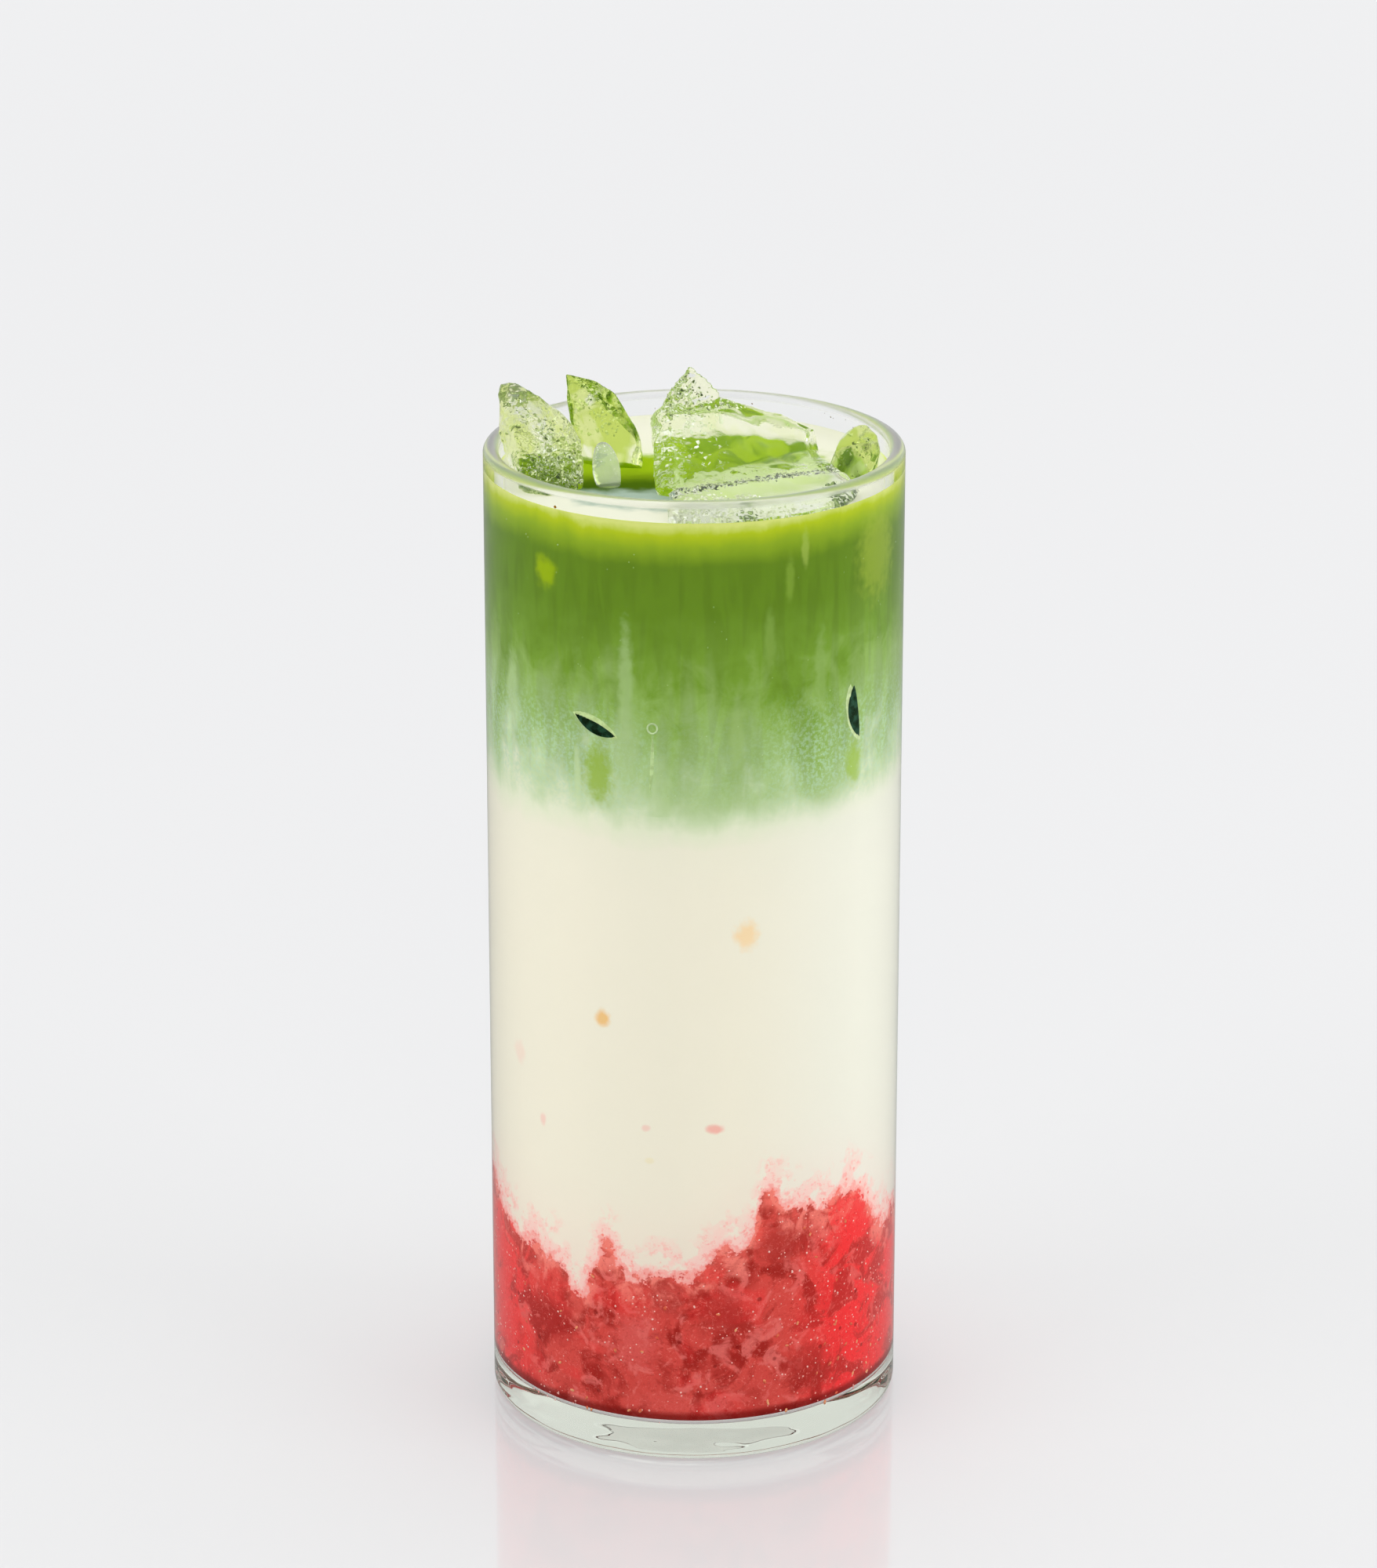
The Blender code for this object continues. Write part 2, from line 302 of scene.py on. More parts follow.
bpy.ops.mesh.primitive_plane_add(size=FLOOR_SIZE, location=(0, 0, -FLOOR_DROP))
studio_floor = bpy.context.object
studio_floor.name = "studio_floor"
material, tree, shader = new_material("pale_floor")
shader.inputs["Base Color"].default_value = (*FLOOR_COLOUR, 1.0)
shader.inputs["Roughness"].default_value = 0.06
shader.inputs["Specular IOR Level"].default_value = 0.7
shader.inputs["IOR"].default_value = 1.5
shader.inputs["Emission Color"].default_value = (*FLOOR_GLOW, 1.0)
shader.inputs["Emission Strength"].default_value = 1.0
studio_floor.data.materials.append(material)
studio_floor.visible_glossy = False

world = bpy.data.worlds.new("studio_dome")
bpy.context.scene.world = world
world.use_nodes = True
tree = world.node_tree
direction = add_node(tree, "TexCoord").outputs["Generated"]
parts = add_node(tree, "SeparateXYZ", {0: direction}).outputs
dome = mix_colours(tree, fade(tree, parts["Z"], -0.1, 0.8), DOME_LOW, DOME_TOP)
dome = mix_colours(tree, fade(tree, parts["Y"], 0.1, -0.8), dome, DOME_BEHIND_CAMERA)
dome = mix_colours(tree, fade(tree, parts["Z"], 0.0, -0.15), dome, DOME_BELOW)
tree.links.new(dome, tree.nodes["Background"].inputs["Color"])
tree.nodes["Background"].inputs["Strength"].default_value = 0.95


def soft_box(name, place, size, power):
    """A square lamp that faces the middle of the glass."""
    bpy.ops.object.light_add(type="AREA", location=place)
    lamp = bpy.context.object
    lamp.name = name
    lamp.data.shape = "RECTANGLE"
    lamp.data.size, lamp.data.size_y = size
    lamp.data.energy = power
    lamp.visible_glossy = False
    aim = Vector((0, 0, GLASS_HEIGHT / 2)) - Vector(place)
    lamp.rotation_euler = aim.to_track_quat("-Z", "Y").to_euler()


soft_box("overhead_box", (0.15, 0.25, 1.1), (0.8, 0.8), 2.0)
soft_box("left_box", (-1.0, -0.5, 0.5), (0.8, 0.8), 4.2)
soft_box("right_box", (1.1, -0.45, 0.5), (0.8, 0.8), 5.2)
soft_box("front_box", (0.1, -1.25, 0.75), (0.6, 0.6), 1.5)
bpy.context.scene.view_settings.view_transform = "Standard"
bpy.context.scene.cycles.max_bounces = 32
bpy.context.scene.cycles.transmission_bounces = 32
bpy.context.scene.cycles.glossy_bounces = 16

# %% [markdown]
# The glass. A glassmaker blows it in one piece, so it is modelled as one closed skin: a cylinder
# whose top is inset by the wall's thickness and pushed down to the floor. Bevels round the rim, as
# the flame does, and the corners of the floor and the foot.

# %% Model the glass
RIM_ROUND = 1.12 * MM
INNER_ROUND = 2.0 * MM
FOOT_ROUND = 1.8 * MM
FOOT_FLAT = 7.6 * MM
PUNT_SLOPE = 18.0 * MM
PUNT_DEPTH = 0.8 * MM
PUNT_ROUND = 3.6 * MM
CLOSE = 0.01 * MM

bpy.ops.mesh.primitive_cylinder_add(
    vertices=ROUND_STEPS, radius=GLASS_RADIUS, depth=GLASS_HEIGHT, location=(0, 0, GLASS_HEIGHT / 2))
glass = bpy.context.object
glass.name = "clear_highball"
bpy.ops.object.transform_apply(location=True, rotation=True, scale=True)
open_mesh(glass)
pick_faces(glass, lambda middle, normal: normal.z > 0.9)
bpy.ops.mesh.inset(thickness=WALL)
bpy.ops.mesh.extrude_region_move(TRANSFORM_OT_translate={"value": (0, 0, FLOOR - GLASS_HEIGHT)})
pick_faces(glass, lambda middle, normal: normal.z < -0.9)
bpy.ops.mesh.inset(thickness=FOOT_FLAT + FOOT_ROUND)
bpy.ops.mesh.inset(thickness=PUNT_SLOPE)
bpy.ops.transform.translate(value=(0, 0, PUNT_DEPTH))
pick_rings(glass, lambda place: place.z < PUNT_DEPTH + CLOSE and place.xy.length < 25 * MM)
bpy.ops.mesh.bevel(offset=PUNT_ROUND, segments=8)
pick_rings(glass, lambda place: abs(place.z - GLASS_HEIGHT) < CLOSE)
bpy.ops.mesh.bevel(offset=RIM_ROUND, segments=12)
pick_rings(glass, lambda place: abs(place.z - FLOOR) < CLOSE)
bpy.ops.mesh.bevel(offset=INNER_ROUND, segments=12)
pick_rings(
    glass, lambda place: place.z < CLOSE and place.xy.length > GLASS_RADIUS - CLOSE)
bpy.ops.mesh.bevel(offset=FOOT_ROUND, segments=12)
pick_faces(glass, lambda middle, normal: normal.z > 0.9 and abs(middle.z - FLOOR) < CLOSE)
bpy.ops.mesh.inset(thickness=1.0 * MM)
close_mesh()
smooth(glass)

# %% [markdown]
# Clear glass is a Principled shader with full transmission. Its faint green only shows where light
# crosses it many times, as in the thick foot.

# %% Finish of the glass
GLASS_TINT = (0.98, 0.99, 0.985, 1.0)

material, tree, shader = new_material("clear_glass")
place = place_in_mm(tree)
draw_marks = noise_at(tree, stretched(tree, place, (1.0, 1.0, 0.2)), 0.12, detail=1.0)
tint = mix_colours(tree, fade(tree, draw_marks, 0.3, 0.7), GLASS_TINT, (0.99, 0.995, 0.99, 1.0))
tree.links.new(tint, shader.inputs["Base Color"])
level = add_node(tree, "SeparateXYZ", {0: place}).outputs["Z"]
mould_marks = noise_at(tree, place, 0.16, detail=0.0)
mould_marks = calc(tree, "MULTIPLY", mould_marks, fade(tree, level, 6.0, 4.0))
marks = calc(tree, "MULTIPLY_ADD", draw_marks, 0.01, mould_marks)
bump = add_node(tree, "Bump", {"Strength": 0.25, "Distance": 0.3 * MM, "Height": marks})
tree.links.new(bump.outputs["Normal"], shader.inputs["Normal"])
at_rim = fade(tree, level, 158.6, 159.2)
tree.links.new(calc(tree, "MULTIPLY", at_rim, 0.3), shader.inputs["Roughness"])
tree.links.new(at_rim, shader.inputs["Coat Weight"])
shader.inputs["Coat IOR"].default_value = 2.2
shader.inputs["Coat Roughness"].default_value = 0.3
shader.inputs["IOR"].default_value = 1.5
shader.inputs["Transmission Weight"].default_value = 1.0
shader.inputs["Specular Tint"].default_value = (0.3, 0.3, 0.3, 1.0)
let_lamps_through(tree, shader, (0.96, 0.97, 0.965, 1.0))
depth = add_node(tree, "VolumeAbsorption", {"Color": (0.56, 0.63, 0.45, 1.0), "Density": 10.0})
tree.links.new(depth.outputs[0], tree.nodes["Material Output"].inputs["Volume"])
glass.data.materials.append(material)
belongs(glass, "clear_glass", "glass")

# %% [markdown]
# The layers. Crushed fruit lies at the bottom and has washed up the wall in crests, milk floats on
# it, and the tea was poured over the milk last. Where two layers meet they share one surface, so
# the heights of those surfaces are two rules that the layers on both sides follow.

# %% Where the layers meet
PUREE_TOP = 31.5
MILK_TOP = 108.5
PUREE_CRESTS = (
    (-84.0, 7.0, 14.0, 2),
    (-36.0, -6.0, 5.0, 2),
    (-26.0, 6.5, 4.5, 2),
    (9.0, 6.0, 5.0, 2),
    (21.0, 11.0, 5.5, 2),
    (43.0, 10.5, 21.0, 4),
    (135.0, 5.0, 24.0, 2),
    (-140.0, -3.5, 26.0, 2),
)
PUREE_LUMP = 2.4
PUREE_LUMP_SIZE = 8.0
MILK_WAVE = 0.8
MENISCUS_RISE = 1.1
MENISCUS_REACH = 0.87


def puree_height(x, y):
    """Height of the fruit's uneven top at a place, all in millimetres."""
    direction = math.degrees(math.atan2(x, -y))
    outwards = min(1.0, math.hypot(x, y) * MM / INNER_RADIUS) ** 2
    height = PUREE_TOP
    for centre, rise, half_width, steepness in PUREE_CRESTS:
        away = abs((direction - centre + 180.0) % 360.0 - 180.0)
        height += outwards * rise * math.exp(-((away / half_width) ** steepness))
    return height + PUREE_LUMP * noise.noise(Vector((x, y, 0.0)) / PUREE_LUMP_SIZE)


def milk_height(x, y):
    """Height of the milk's top, which tilts and swells a little under the tea."""
    share = 2.2 * x * MM / INNER_RADIUS
    return MILK_TOP + MILK_WAVE * (math.sin(share + 0.6) - y * MM / (2 * INNER_RADIUS))


def tea_height(x, y):
    """Height of the tea's top, which climbs the wall a little."""
    from_wall = DRINK_RADIUS / MM - math.hypot(x, y)
    return DRINK_TOP / MM + MENISCUS_RISE * math.exp(-from_wall / MENISCUS_REACH)


print(f"The fruit reaches {puree_height(10.9, -28.4):.1f} mm at its crest")

# %% [markdown]
# One function makes each layer: a cylinder whose two ends are inset into rings, so that they have
# points to move, and those points then follow the rule for that end.

# %% Model the three layers
END_RINGS = (0.25, 0.25, 0.5, 0.6, 1.2) + (2.6,) * 10


def layer(name, bottom, top, bottom_rule, top_rule):
    """A round layer of the drink between two surfaces, given as rules in millimetres."""
    bpy.ops.mesh.primitive_cylinder_add(
        vertices=ROUND_STEPS, radius=DRINK_RADIUS, depth=top - bottom,
        location=(0, 0, (top + bottom) / 2))
    piece = bpy.context.object
    piece.name = name
    bpy.ops.object.transform_apply(location=True, rotation=True, scale=True)
    open_mesh(piece)
    for facing, rule in ((-1, bottom_rule), (1, top_rule)):
        if rule:
            pick_faces(piece, lambda middle, normal: normal.z * facing > 0.9)
            for ring in END_RINGS:
                bpy.ops.mesh.inset(thickness=ring * MM)
            bpy.ops.mesh.poke()
    close_mesh()
    for vertex in piece.data.vertices:
        x, y, z = vertex.co / MM
        if bottom_rule and abs(vertex.co.z - bottom) < CLOSE:
            vertex.co.z = bottom_rule(x, y) * MM
        elif top_rule and abs(vertex.co.z - top) < CLOSE:
            vertex.co.z = top_rule(x, y) * MM
    return piece


def mark_height_over_fruit(piece):
    """Stores at each point how far it is above the fruit's top, in millimetres."""
    marks = piece.data.attributes.new("over_fruit", "FLOAT", "POINT")
    for vertex, mark in zip(piece.data.vertices, marks.data):
        x, y, z = vertex.co / MM
        mark.value = z - puree_height(x, y)


puree = layer("crushed_strawberry", DRINK_BOTTOM, PUREE_TOP * MM, None, puree_height)
open_mesh(puree)
pick_rings(puree, lambda place: abs(place.z - DRINK_BOTTOM) < CLOSE)
bpy.ops.mesh.bevel(offset=INNER_ROUND, segments=12)
close_mesh()
milk = layer("milk_layer", PUREE_TOP * MM, MILK_TOP * MM, puree_height, milk_height)
tea = layer("matcha_layer", MILK_TOP * MM, DRINK_TOP, milk_height, tea_height)
for piece in (puree, milk, tea):
    mark_height_over_fruit(piece)
    smooth(piece, 50.0)

# %% [markdown]
# The colour of tea running into milk is shared by the tea and the milk, so it is a node group. The
# tea is darkest in its upper half and yellow just under its surface, where light comes in from
# above. Threads of tea sink into the milk, so the noise is stretched along the height, and it
# shifts the height at which each colour is read.

# %% Node group: tea running into milk
TEA_COLOURS = (
    (104.0, (235, 229, 212)),
    (107.0, (225, 228, 203)),
    (110.5, (194, 211, 170)),
    (114.5, (166, 191, 134)),
    (119.5, (150, 178, 112)),
    (127.0, (137, 168, 88)),
    (134.5, (112, 145, 56)),
    (142.0, (98, 129, 44)),
    (149.5, (96, 126, 42)),
    (152.8, (134, 162, 46)),
    (155.0, (172, 190, 42)),
    (156.4, (212, 219, 122)),
)
COLOUR_START = 100.0
COLOUR_END = 160.0
MINT = behind_glass(178, 206, 182)
COOL_MILK = behind_glass(231, 229, 217)

tea_in_milk, group_in, group_out = new_group("tea_in_milk", (), (("Color", "NodeSocketColor"),))
place = place_in_mm(tea_in_milk)
height = add_node(tea_in_milk, "SeparateXYZ", {0: place}).outputs["Z"]
broad = noise_at(
    tea_in_milk, stretched(tea_in_milk, place, (1, 1, 0.4)), 0.10, detail=4.0, distortion=0.8)
threads = noise_at(
    tea_in_milk, stretched(tea_in_milk, place, (1, 1, 0.16)), 0.35, detail=3.0, distortion=0.8)
billows = noise_at(tea_in_milk, place, 0.22, detail=4.0, roughness=0.6, distortion=0.5)
rising = fade(tea_in_milk, height, 104.0, 124.0, 5.0, 36.0)
falling = fade(tea_in_milk, height, 126.0, 148.0, 1.0, 0.08)
reach = calc(tea_in_milk, "MULTIPLY", rising, falling)
shift = calc(tea_in_milk, "ADD", calc(tea_in_milk, "SUBTRACT", broad, 0.5),
             calc(tea_in_milk, "MULTIPLY_ADD", threads, 0.35, -0.175))
shift = calc(tea_in_milk, "ADD", shift, calc(tea_in_milk, "MULTIPLY_ADD", billows, 0.6, -0.3))
read_at = calc(tea_in_milk, "MULTIPLY_ADD", shift, reach, height)
from_middle_x = add_node(tea_in_milk, "SeparateXYZ", {0: place}).outputs["X"]
from_middle = calc(tea_in_milk, "ABSOLUTE", calc(tea_in_milk, "ADD", from_middle_x, -9.0))
sunk = calc(tea_in_milk, "MULTIPLY", fade(tea_in_milk, from_middle, 15.0, 6.0, 0.0, 3.5),
            calc(tea_in_milk, "MULTIPLY", fade(tea_in_milk, height, 106.0, 112.0),
                 fade(tea_in_milk, height, 136.0, 122.0)))
read_at = calc(tea_in_milk, "ADD", read_at, sunk)
# Painted light: left of the middle, the glow just under the tea's top reaches a little lower.
left_of_middle = calc(tea_in_milk, "ADD", from_middle_x, 5.0)
paler = calc(tea_in_milk, "MULTIPLY", fade(tea_in_milk, calc(tea_in_milk, "ABSOLUTE", left_of_middle), 20.0, 8.0, 0.0, 0.6),
             fade(tea_in_milk, height, 147.0, 152.0))
read_at = calc(tea_in_milk, "ADD", read_at, paler)
share = add_node(tea_in_milk, "MapRange", {
    "Value": read_at, "From Min": COLOUR_START, "From Max": COLOUR_END}).outputs["Result"]
steps = add_node(tea_in_milk, "ValToRGB", {"Fac": share})
ramp = steps.color_ramp
while len(ramp.elements) > 1:
    ramp.elements.remove(ramp.elements[-1])
for index, (level, colour) in enumerate(TEA_COLOURS):
    at = (level - COLOUR_START) / (COLOUR_END - COLOUR_START)
    stop = ramp.elements.new(at) if index else ramp.elements[0]
    stop.position = at
    stop.color = behind_glass(*colour)
grain = noise_at(tea_in_milk, place, 1.6, detail=3.0, roughness=0.7)
mint_zone = calc(tea_in_milk, "MULTIPLY", fade(tea_in_milk, height, 106.0, 114.0),
                 fade(tea_in_milk, height, 130.0, 118.0))
sideways = add_node(tea_in_milk, "SeparateXYZ", {0: place}).outputs["X"]
sideways = calc(tea_in_milk, "ABSOLUTE", calc(tea_in_milk, "ADD", sideways, -2.0))
mint_zone = calc(tea_in_milk, "MULTIPLY", mint_zone, fade(tea_in_milk, sideways, 5.0, 17.0, 0.25, 1.0))
mint_share = calc(tea_in_milk, "MULTIPLY", mint_zone, fade(tea_in_milk, grain, 0.42, 0.64, 0.0, 0.55))
rightwards = add_node(tea_in_milk, "SeparateXYZ", {0: place}).outputs["X"]
cool = calc(tea_in_milk, "MULTIPLY", fade(tea_in_milk, rightwards, 4.0, 26.0),
            fade(tea_in_milk, height, 112.0, 104.0))
tinted = mix_colours(tea_in_milk, cool, steps.outputs["Color"], COOL_MILK)
tinted = mix_colours(tea_in_milk, mint_share, tinted, MINT)
streak_light = fade(tea_in_milk, threads, 0.4, 0.6, 0.93, 1.08)
in_tea = calc(tea_in_milk, "MULTIPLY", fade(tea_in_milk, height, 108.0, 118.0),
              fade(tea_in_milk, height, 153.0, 144.0))
gain = calc(tea_in_milk, "MULTIPLY_ADD", calc(tea_in_milk, "SUBTRACT", streak_light, 1.0), in_tea, 1.0)
gain_colour = add_node(tea_in_milk, "CombineColor", {0: gain, 1: gain, 2: gain}).outputs[0]
tea_in_milk.links.new(
    mix_colours(tea_in_milk, 1.0, tinted, gain_colour, "MULTIPLY"), group_out.inputs["Color"])
print("Tea colours set at", len(TEA_COLOURS), "heights")

# %% [markdown]
# Two more groups. A soft spot is a stain of a given size at a given place, for fruit and ice that
# lie just behind the wall, and also for a patch of painted light. Specks are small dots strewn at
# random, for air bubbles and seeds.

# %% Node groups: soft spot and specks
soft_spot, group_in, group_out = new_group(
    "soft_spot",
    (("Centre", "NodeSocketVector", (0, 0, 0)), ("Size", "NodeSocketVector", (1, 1, 1)),
     ("Ragged", "NodeSocketFloat", 0.3), ("Softness", "NodeSocketFloat", 0.5)),
    (("Mask", "NodeSocketFloat"),))
place = place_in_mm(soft_spot)
offset = add_node(soft_spot, "VectorMath", {0: place, 1: group_in.outputs["Centre"]}, operation="SUBTRACT")
shares = add_node(
    soft_spot, "VectorMath", {0: offset.outputs[0], 1: group_in.outputs["Size"]}, operation="DIVIDE")
away = add_node(soft_spot, "VectorMath", {0: shares.outputs[0]}, operation="LENGTH").outputs["Value"]
rough_edge = calc(soft_spot, "SUBTRACT", noise_at(soft_spot, place, 0.8, detail=3.0), 0.5)
away = calc(soft_spot, "MULTIPLY_ADD", rough_edge, group_in.outputs["Ragged"], away)
inner = calc(soft_spot, "SUBTRACT", 1.0, group_in.outputs["Softness"])
soft_spot.links.new(fade(soft_spot, away, 1.0, inner), group_out.inputs["Mask"])

specks, group_in, group_out = new_group(
    "specks",
    (("Spacing", "NodeSocketFloat", 2.0), ("Radius", "NodeSocketFloat", 0.2),
     ("Share", "NodeSocketFloat", 0.5)),
    (("Mask", "NodeSocketFloat"),))
place = place_in_mm(specks)
density = calc(specks, "DIVIDE", 1.0, group_in.outputs["Spacing"])
cells = add_node(specks, "TexVoronoi", {"Vector": place, "Scale": density})
dot = calc(specks, "DIVIDE", group_in.outputs["Radius"], group_in.outputs["Spacing"])
inside = calc(specks, "SUBTRACT", dot, cells.outputs["Distance"])
inside = fade(specks, calc(specks, "DIVIDE", inside, dot), 0.0, 0.5)
lot = add_node(specks, "SeparateColor", {0: cells.outputs["Color"]}).outputs[0]
kept = calc(specks, "LESS_THAN", lot, group_in.outputs["Share"])
specks.links.new(calc(specks, "MULTIPLY", inside, kept), group_out.inputs["Mask"])
print("Groups ready:", soft_spot.name, specks.name)

# %% [markdown]
# Places on the wall. What lies behind the glass is given by its direction, in degrees from the
# front, and its height. One helper turns them into a point of the drink's side, and the other
# mixes stains and painted light at such places into a colour.

# %% Helpers for places on the wall
def on_wall(direction, height, radius=DRINK_RADIUS):
    """The point of the wall, in millimetres, in a direction from the front and at a height."""
    turn = math.radians(direction)
    return Vector((radius / MM * math.sin(turn), -radius / MM * math.cos(turn), height))


def mix_stains_and_light(tree, colour, spots, ragged):
    """Mixes soft spots into a colour, one after another: stains, and in the tea also painted light."""
    for direction, height, size, shade, strength in spots:
        spot = use_group(tree, soft_spot, {
            "Centre": on_wall(direction, height), "Size": size, "Ragged": ragged, "Softness": 0.7})
        share = calc(tree, "MULTIPLY", spot.outputs["Mask"], strength)
        colour = mix_colours(tree, share, colour, behind_glass(*shade))
    return colour


# %% [markdown]
# Crushed strawberry in milk is shared by the fruit and the milk. The height over the fruit, which
# the layers store as an attribute, is shifted by noise and so makes the torn edge. Below it lie
# reds, from dark flesh to bright juice, with pale veins and specks of air. Above it a pink haze.

# %% Node group: fruit in milk
DEEP_RED = behind_glass(156, 46, 42)
FLESH_RED = behind_glass(208, 76, 70)
JUICE_RED = behind_glass(240, 56, 58)
PULP_PINK = behind_glass(228, 112, 106)
VEIN_PINK = behind_glass(236, 130, 120)
CORAL = behind_glass(243, 128, 116)
HALO_PINK = behind_glass(247, 160, 154)
HAZE_PINK = behind_glass(247, 204, 196)
SEED_AND_SHADE_RED = behind_glass(112, 30, 28)
FRUIT_STAINS = (
    (26.6, 36.0, (6.4, 6.4, 5.4), (160, 52, 48), 0.7),
    (35.7, 13.5, (6.0, 6.0, 5.4), (162, 50, 46), 0.7),
    (8.2, 25.0, (5.2, 5.2, 6.0), (166, 56, 52), 0.65),
    (-44.3, 20.5, (5.6, 5.6, 6.0), (168, 48, 46), 0.65),
    (-8.0, 28.0, (4.2, 4.2, 4.2), (172, 62, 58), 0.6),
    (-17.3, 20.0, (5.0, 5.0, 6.4), (216, 96, 92), 0.55),
    (-8.0, 9.5, (9.0, 9.0, 3.0), (222, 88, 82), 0.5),
    (20.0, 9.0, (8.0, 8.0, 2.6), (214, 78, 72), 0.5),
    (-60.0, 14.0, (4.0, 4.0, 6.0), (236, 58, 56), 0.6),
    (24.6, 44.5, (3.6, 3.6, 3.2), (242, 106, 96), 0.85),
    (-22.5, 36.0, (3.4, 3.4, 3.4), (240, 112, 100), 0.75),
    (3.0, 32.0, (5.0, 5.0, 2.4), (236, 74, 70), 0.6),
    (17.0, 39.0, (3.2, 3.2, 3.4), (240, 88, 80), 0.7),
)

fruit_in_milk, group_in, group_out = new_group(
    "fruit_in_milk", (("Milk", "NodeSocketColor", (1, 1, 1, 1)),),
    (("Color", "NodeSocketColor"), ("Fruit", "NodeSocketFloat")))
place = place_in_mm(fruit_in_milk)
stored = add_node(fruit_in_milk, "Attribute", attribute_name="over_fruit").outputs["Fac"]
parts = add_node(fruit_in_milk, "SeparateXYZ", {0: place}).outputs
tears = noise_at(fruit_in_milk, place, 0.7, detail=5.0, roughness=0.7)
lobes = noise_at(fruit_in_milk, place, 0.24, detail=2.0)
edge = calc(fruit_in_milk, "ADD", stored, calc(fruit_in_milk, "MULTIPLY_ADD", tears, 8.0, -4.0))
edge = calc(fruit_in_milk, "ADD", edge, calc(fruit_in_milk, "MULTIPLY_ADD", lobes, 5.0, -2.5))
fruit = fade(fruit_in_milk, edge, 0.25, -0.25)

lumps = add_node(fruit_in_milk, "TexVoronoi", {
    "Vector": place, "Scale": 0.12, "Detail": 1.0, "Randomness": 1.0}, feature="SMOOTH_F1")
flesh = noise_at(fruit_in_milk, place, 0.15, detail=5.0, roughness=0.58, distortion=0.8)
pulp = noise_at(fruit_in_milk, place, 0.24, detail=4.0, roughness=0.55, distortion=1.0)
fibres = noise_at(fruit_in_milk, place, 1.3, detail=4.0, roughness=0.7, distortion=1.5)
juice = noise_at(fruit_in_milk, place, 0.12, detail=2.0)
red = mix_colours(fruit_in_milk, fade(fruit_in_milk, flesh, 0.41, 0.56), DEEP_RED, FLESH_RED)
red = mix_colours(
    fruit_in_milk, fade(fruit_in_milk, lumps.outputs["Distance"], 0.2, 0.55, 0.85, 0.0), red, DEEP_RED)
red = mix_colours(fruit_in_milk, fade(fruit_in_milk, pulp, 0.52, 0.64, 0.0, 0.75), red, PULP_PINK)
sides = calc(fruit_in_milk, "MAXIMUM", fade(fruit_in_milk, parts["X"], 13.0, 24.0),
             fade(fruit_in_milk, parts["X"], -22.0, -28.0, 0.0, 0.8))
sides = calc(fruit_in_milk, "MULTIPLY", sides, fade(fruit_in_milk, flesh, 0.42, 0.52, 0.35, 1.0))
juicy = calc(fruit_in_milk, "MAXIMUM", sides, fade(fruit_in_milk, juice, 0.52, 0.62, 0.0, 0.35))
red = mix_colours(fruit_in_milk, juicy, red, JUICE_RED)
red = mix_stains_and_light(fruit_in_milk, red, FRUIT_STAINS, 0.9)
coral_zone = calc(fruit_in_milk, "MULTIPLY", fade(fruit_in_milk, edge, -6.0, -0.5),
                  fade(fruit_in_milk, pulp, 0.44, 0.56, 0.15, 0.85))
red = mix_colours(fruit_in_milk, coral_zone, red, CORAL)
red = mix_colours(fruit_in_milk, fade(fruit_in_milk, fibres, 0.55, 0.68, 0.0, 0.5), red, VEIN_PINK)
red = mix_colours(fruit_in_milk, fade(fruit_in_milk, fibres, 0.44, 0.34, 0.0, 0.4), red, DEEP_RED)
seeds = use_group(fruit_in_milk, specks, {"Spacing": 3.1, "Radius": 0.5, "Share": 0.35})
red = mix_colours(
    fruit_in_milk, calc(fruit_in_milk, "MULTIPLY", seeds.outputs["Mask"], 0.6), red, SEED_AND_SHADE_RED)

# Painted shade: the bottom of the fruit, where it meets the glass's floor, is darkened with the seeds' colour.
red = mix_colours(fruit_in_milk, fade(fruit_in_milk, parts["Z"], 8.5, 7.3, 0.0, 0.8), red, SEED_AND_SHADE_RED)
patches = noise_at(fruit_in_milk, place, 0.35, detail=3.0, roughness=0.6)
haze_reach = fade(fruit_in_milk, patches, 0.4, 0.58, 2.5, 10.0)
haze = fade(fruit_in_milk, calc(fruit_in_milk, "DIVIDE", edge, haze_reach), 1.0, 0.1)
above = mix_colours(fruit_in_milk, haze, group_in.outputs["Milk"], HAZE_PINK)
above = mix_colours(fruit_in_milk, fade(fruit_in_milk, edge, 1.8, 0.2), above, HALO_PINK)
torn = noise_at(fruit_in_milk, place, 1.1, detail=4.0, roughness=0.7)
torn_off = calc(fruit_in_milk, "MULTIPLY", fade(fruit_in_milk, torn, 0.52, 0.6),
                calc(fruit_in_milk, "MULTIPLY", haze, 0.8))
above = mix_colours(fruit_in_milk, torn_off, above, HALO_PINK)
crumbs = use_group(fruit_in_milk, specks, {"Spacing": 1.1, "Radius": 0.32, "Share": 0.3})
crumb_zone = calc(fruit_in_milk, "MULTIPLY", crumbs.outputs["Mask"], fade(fruit_in_milk, edge, 6.0, 1.0))
above = mix_colours(fruit_in_milk, crumb_zone, above, CORAL)
fruit_in_milk.links.new(mix_colours(fruit_in_milk, fruit, above, red), group_out.inputs["Color"])
fruit_in_milk.links.new(fruit, group_out.inputs["Fruit"])
print("Fruit colours set")
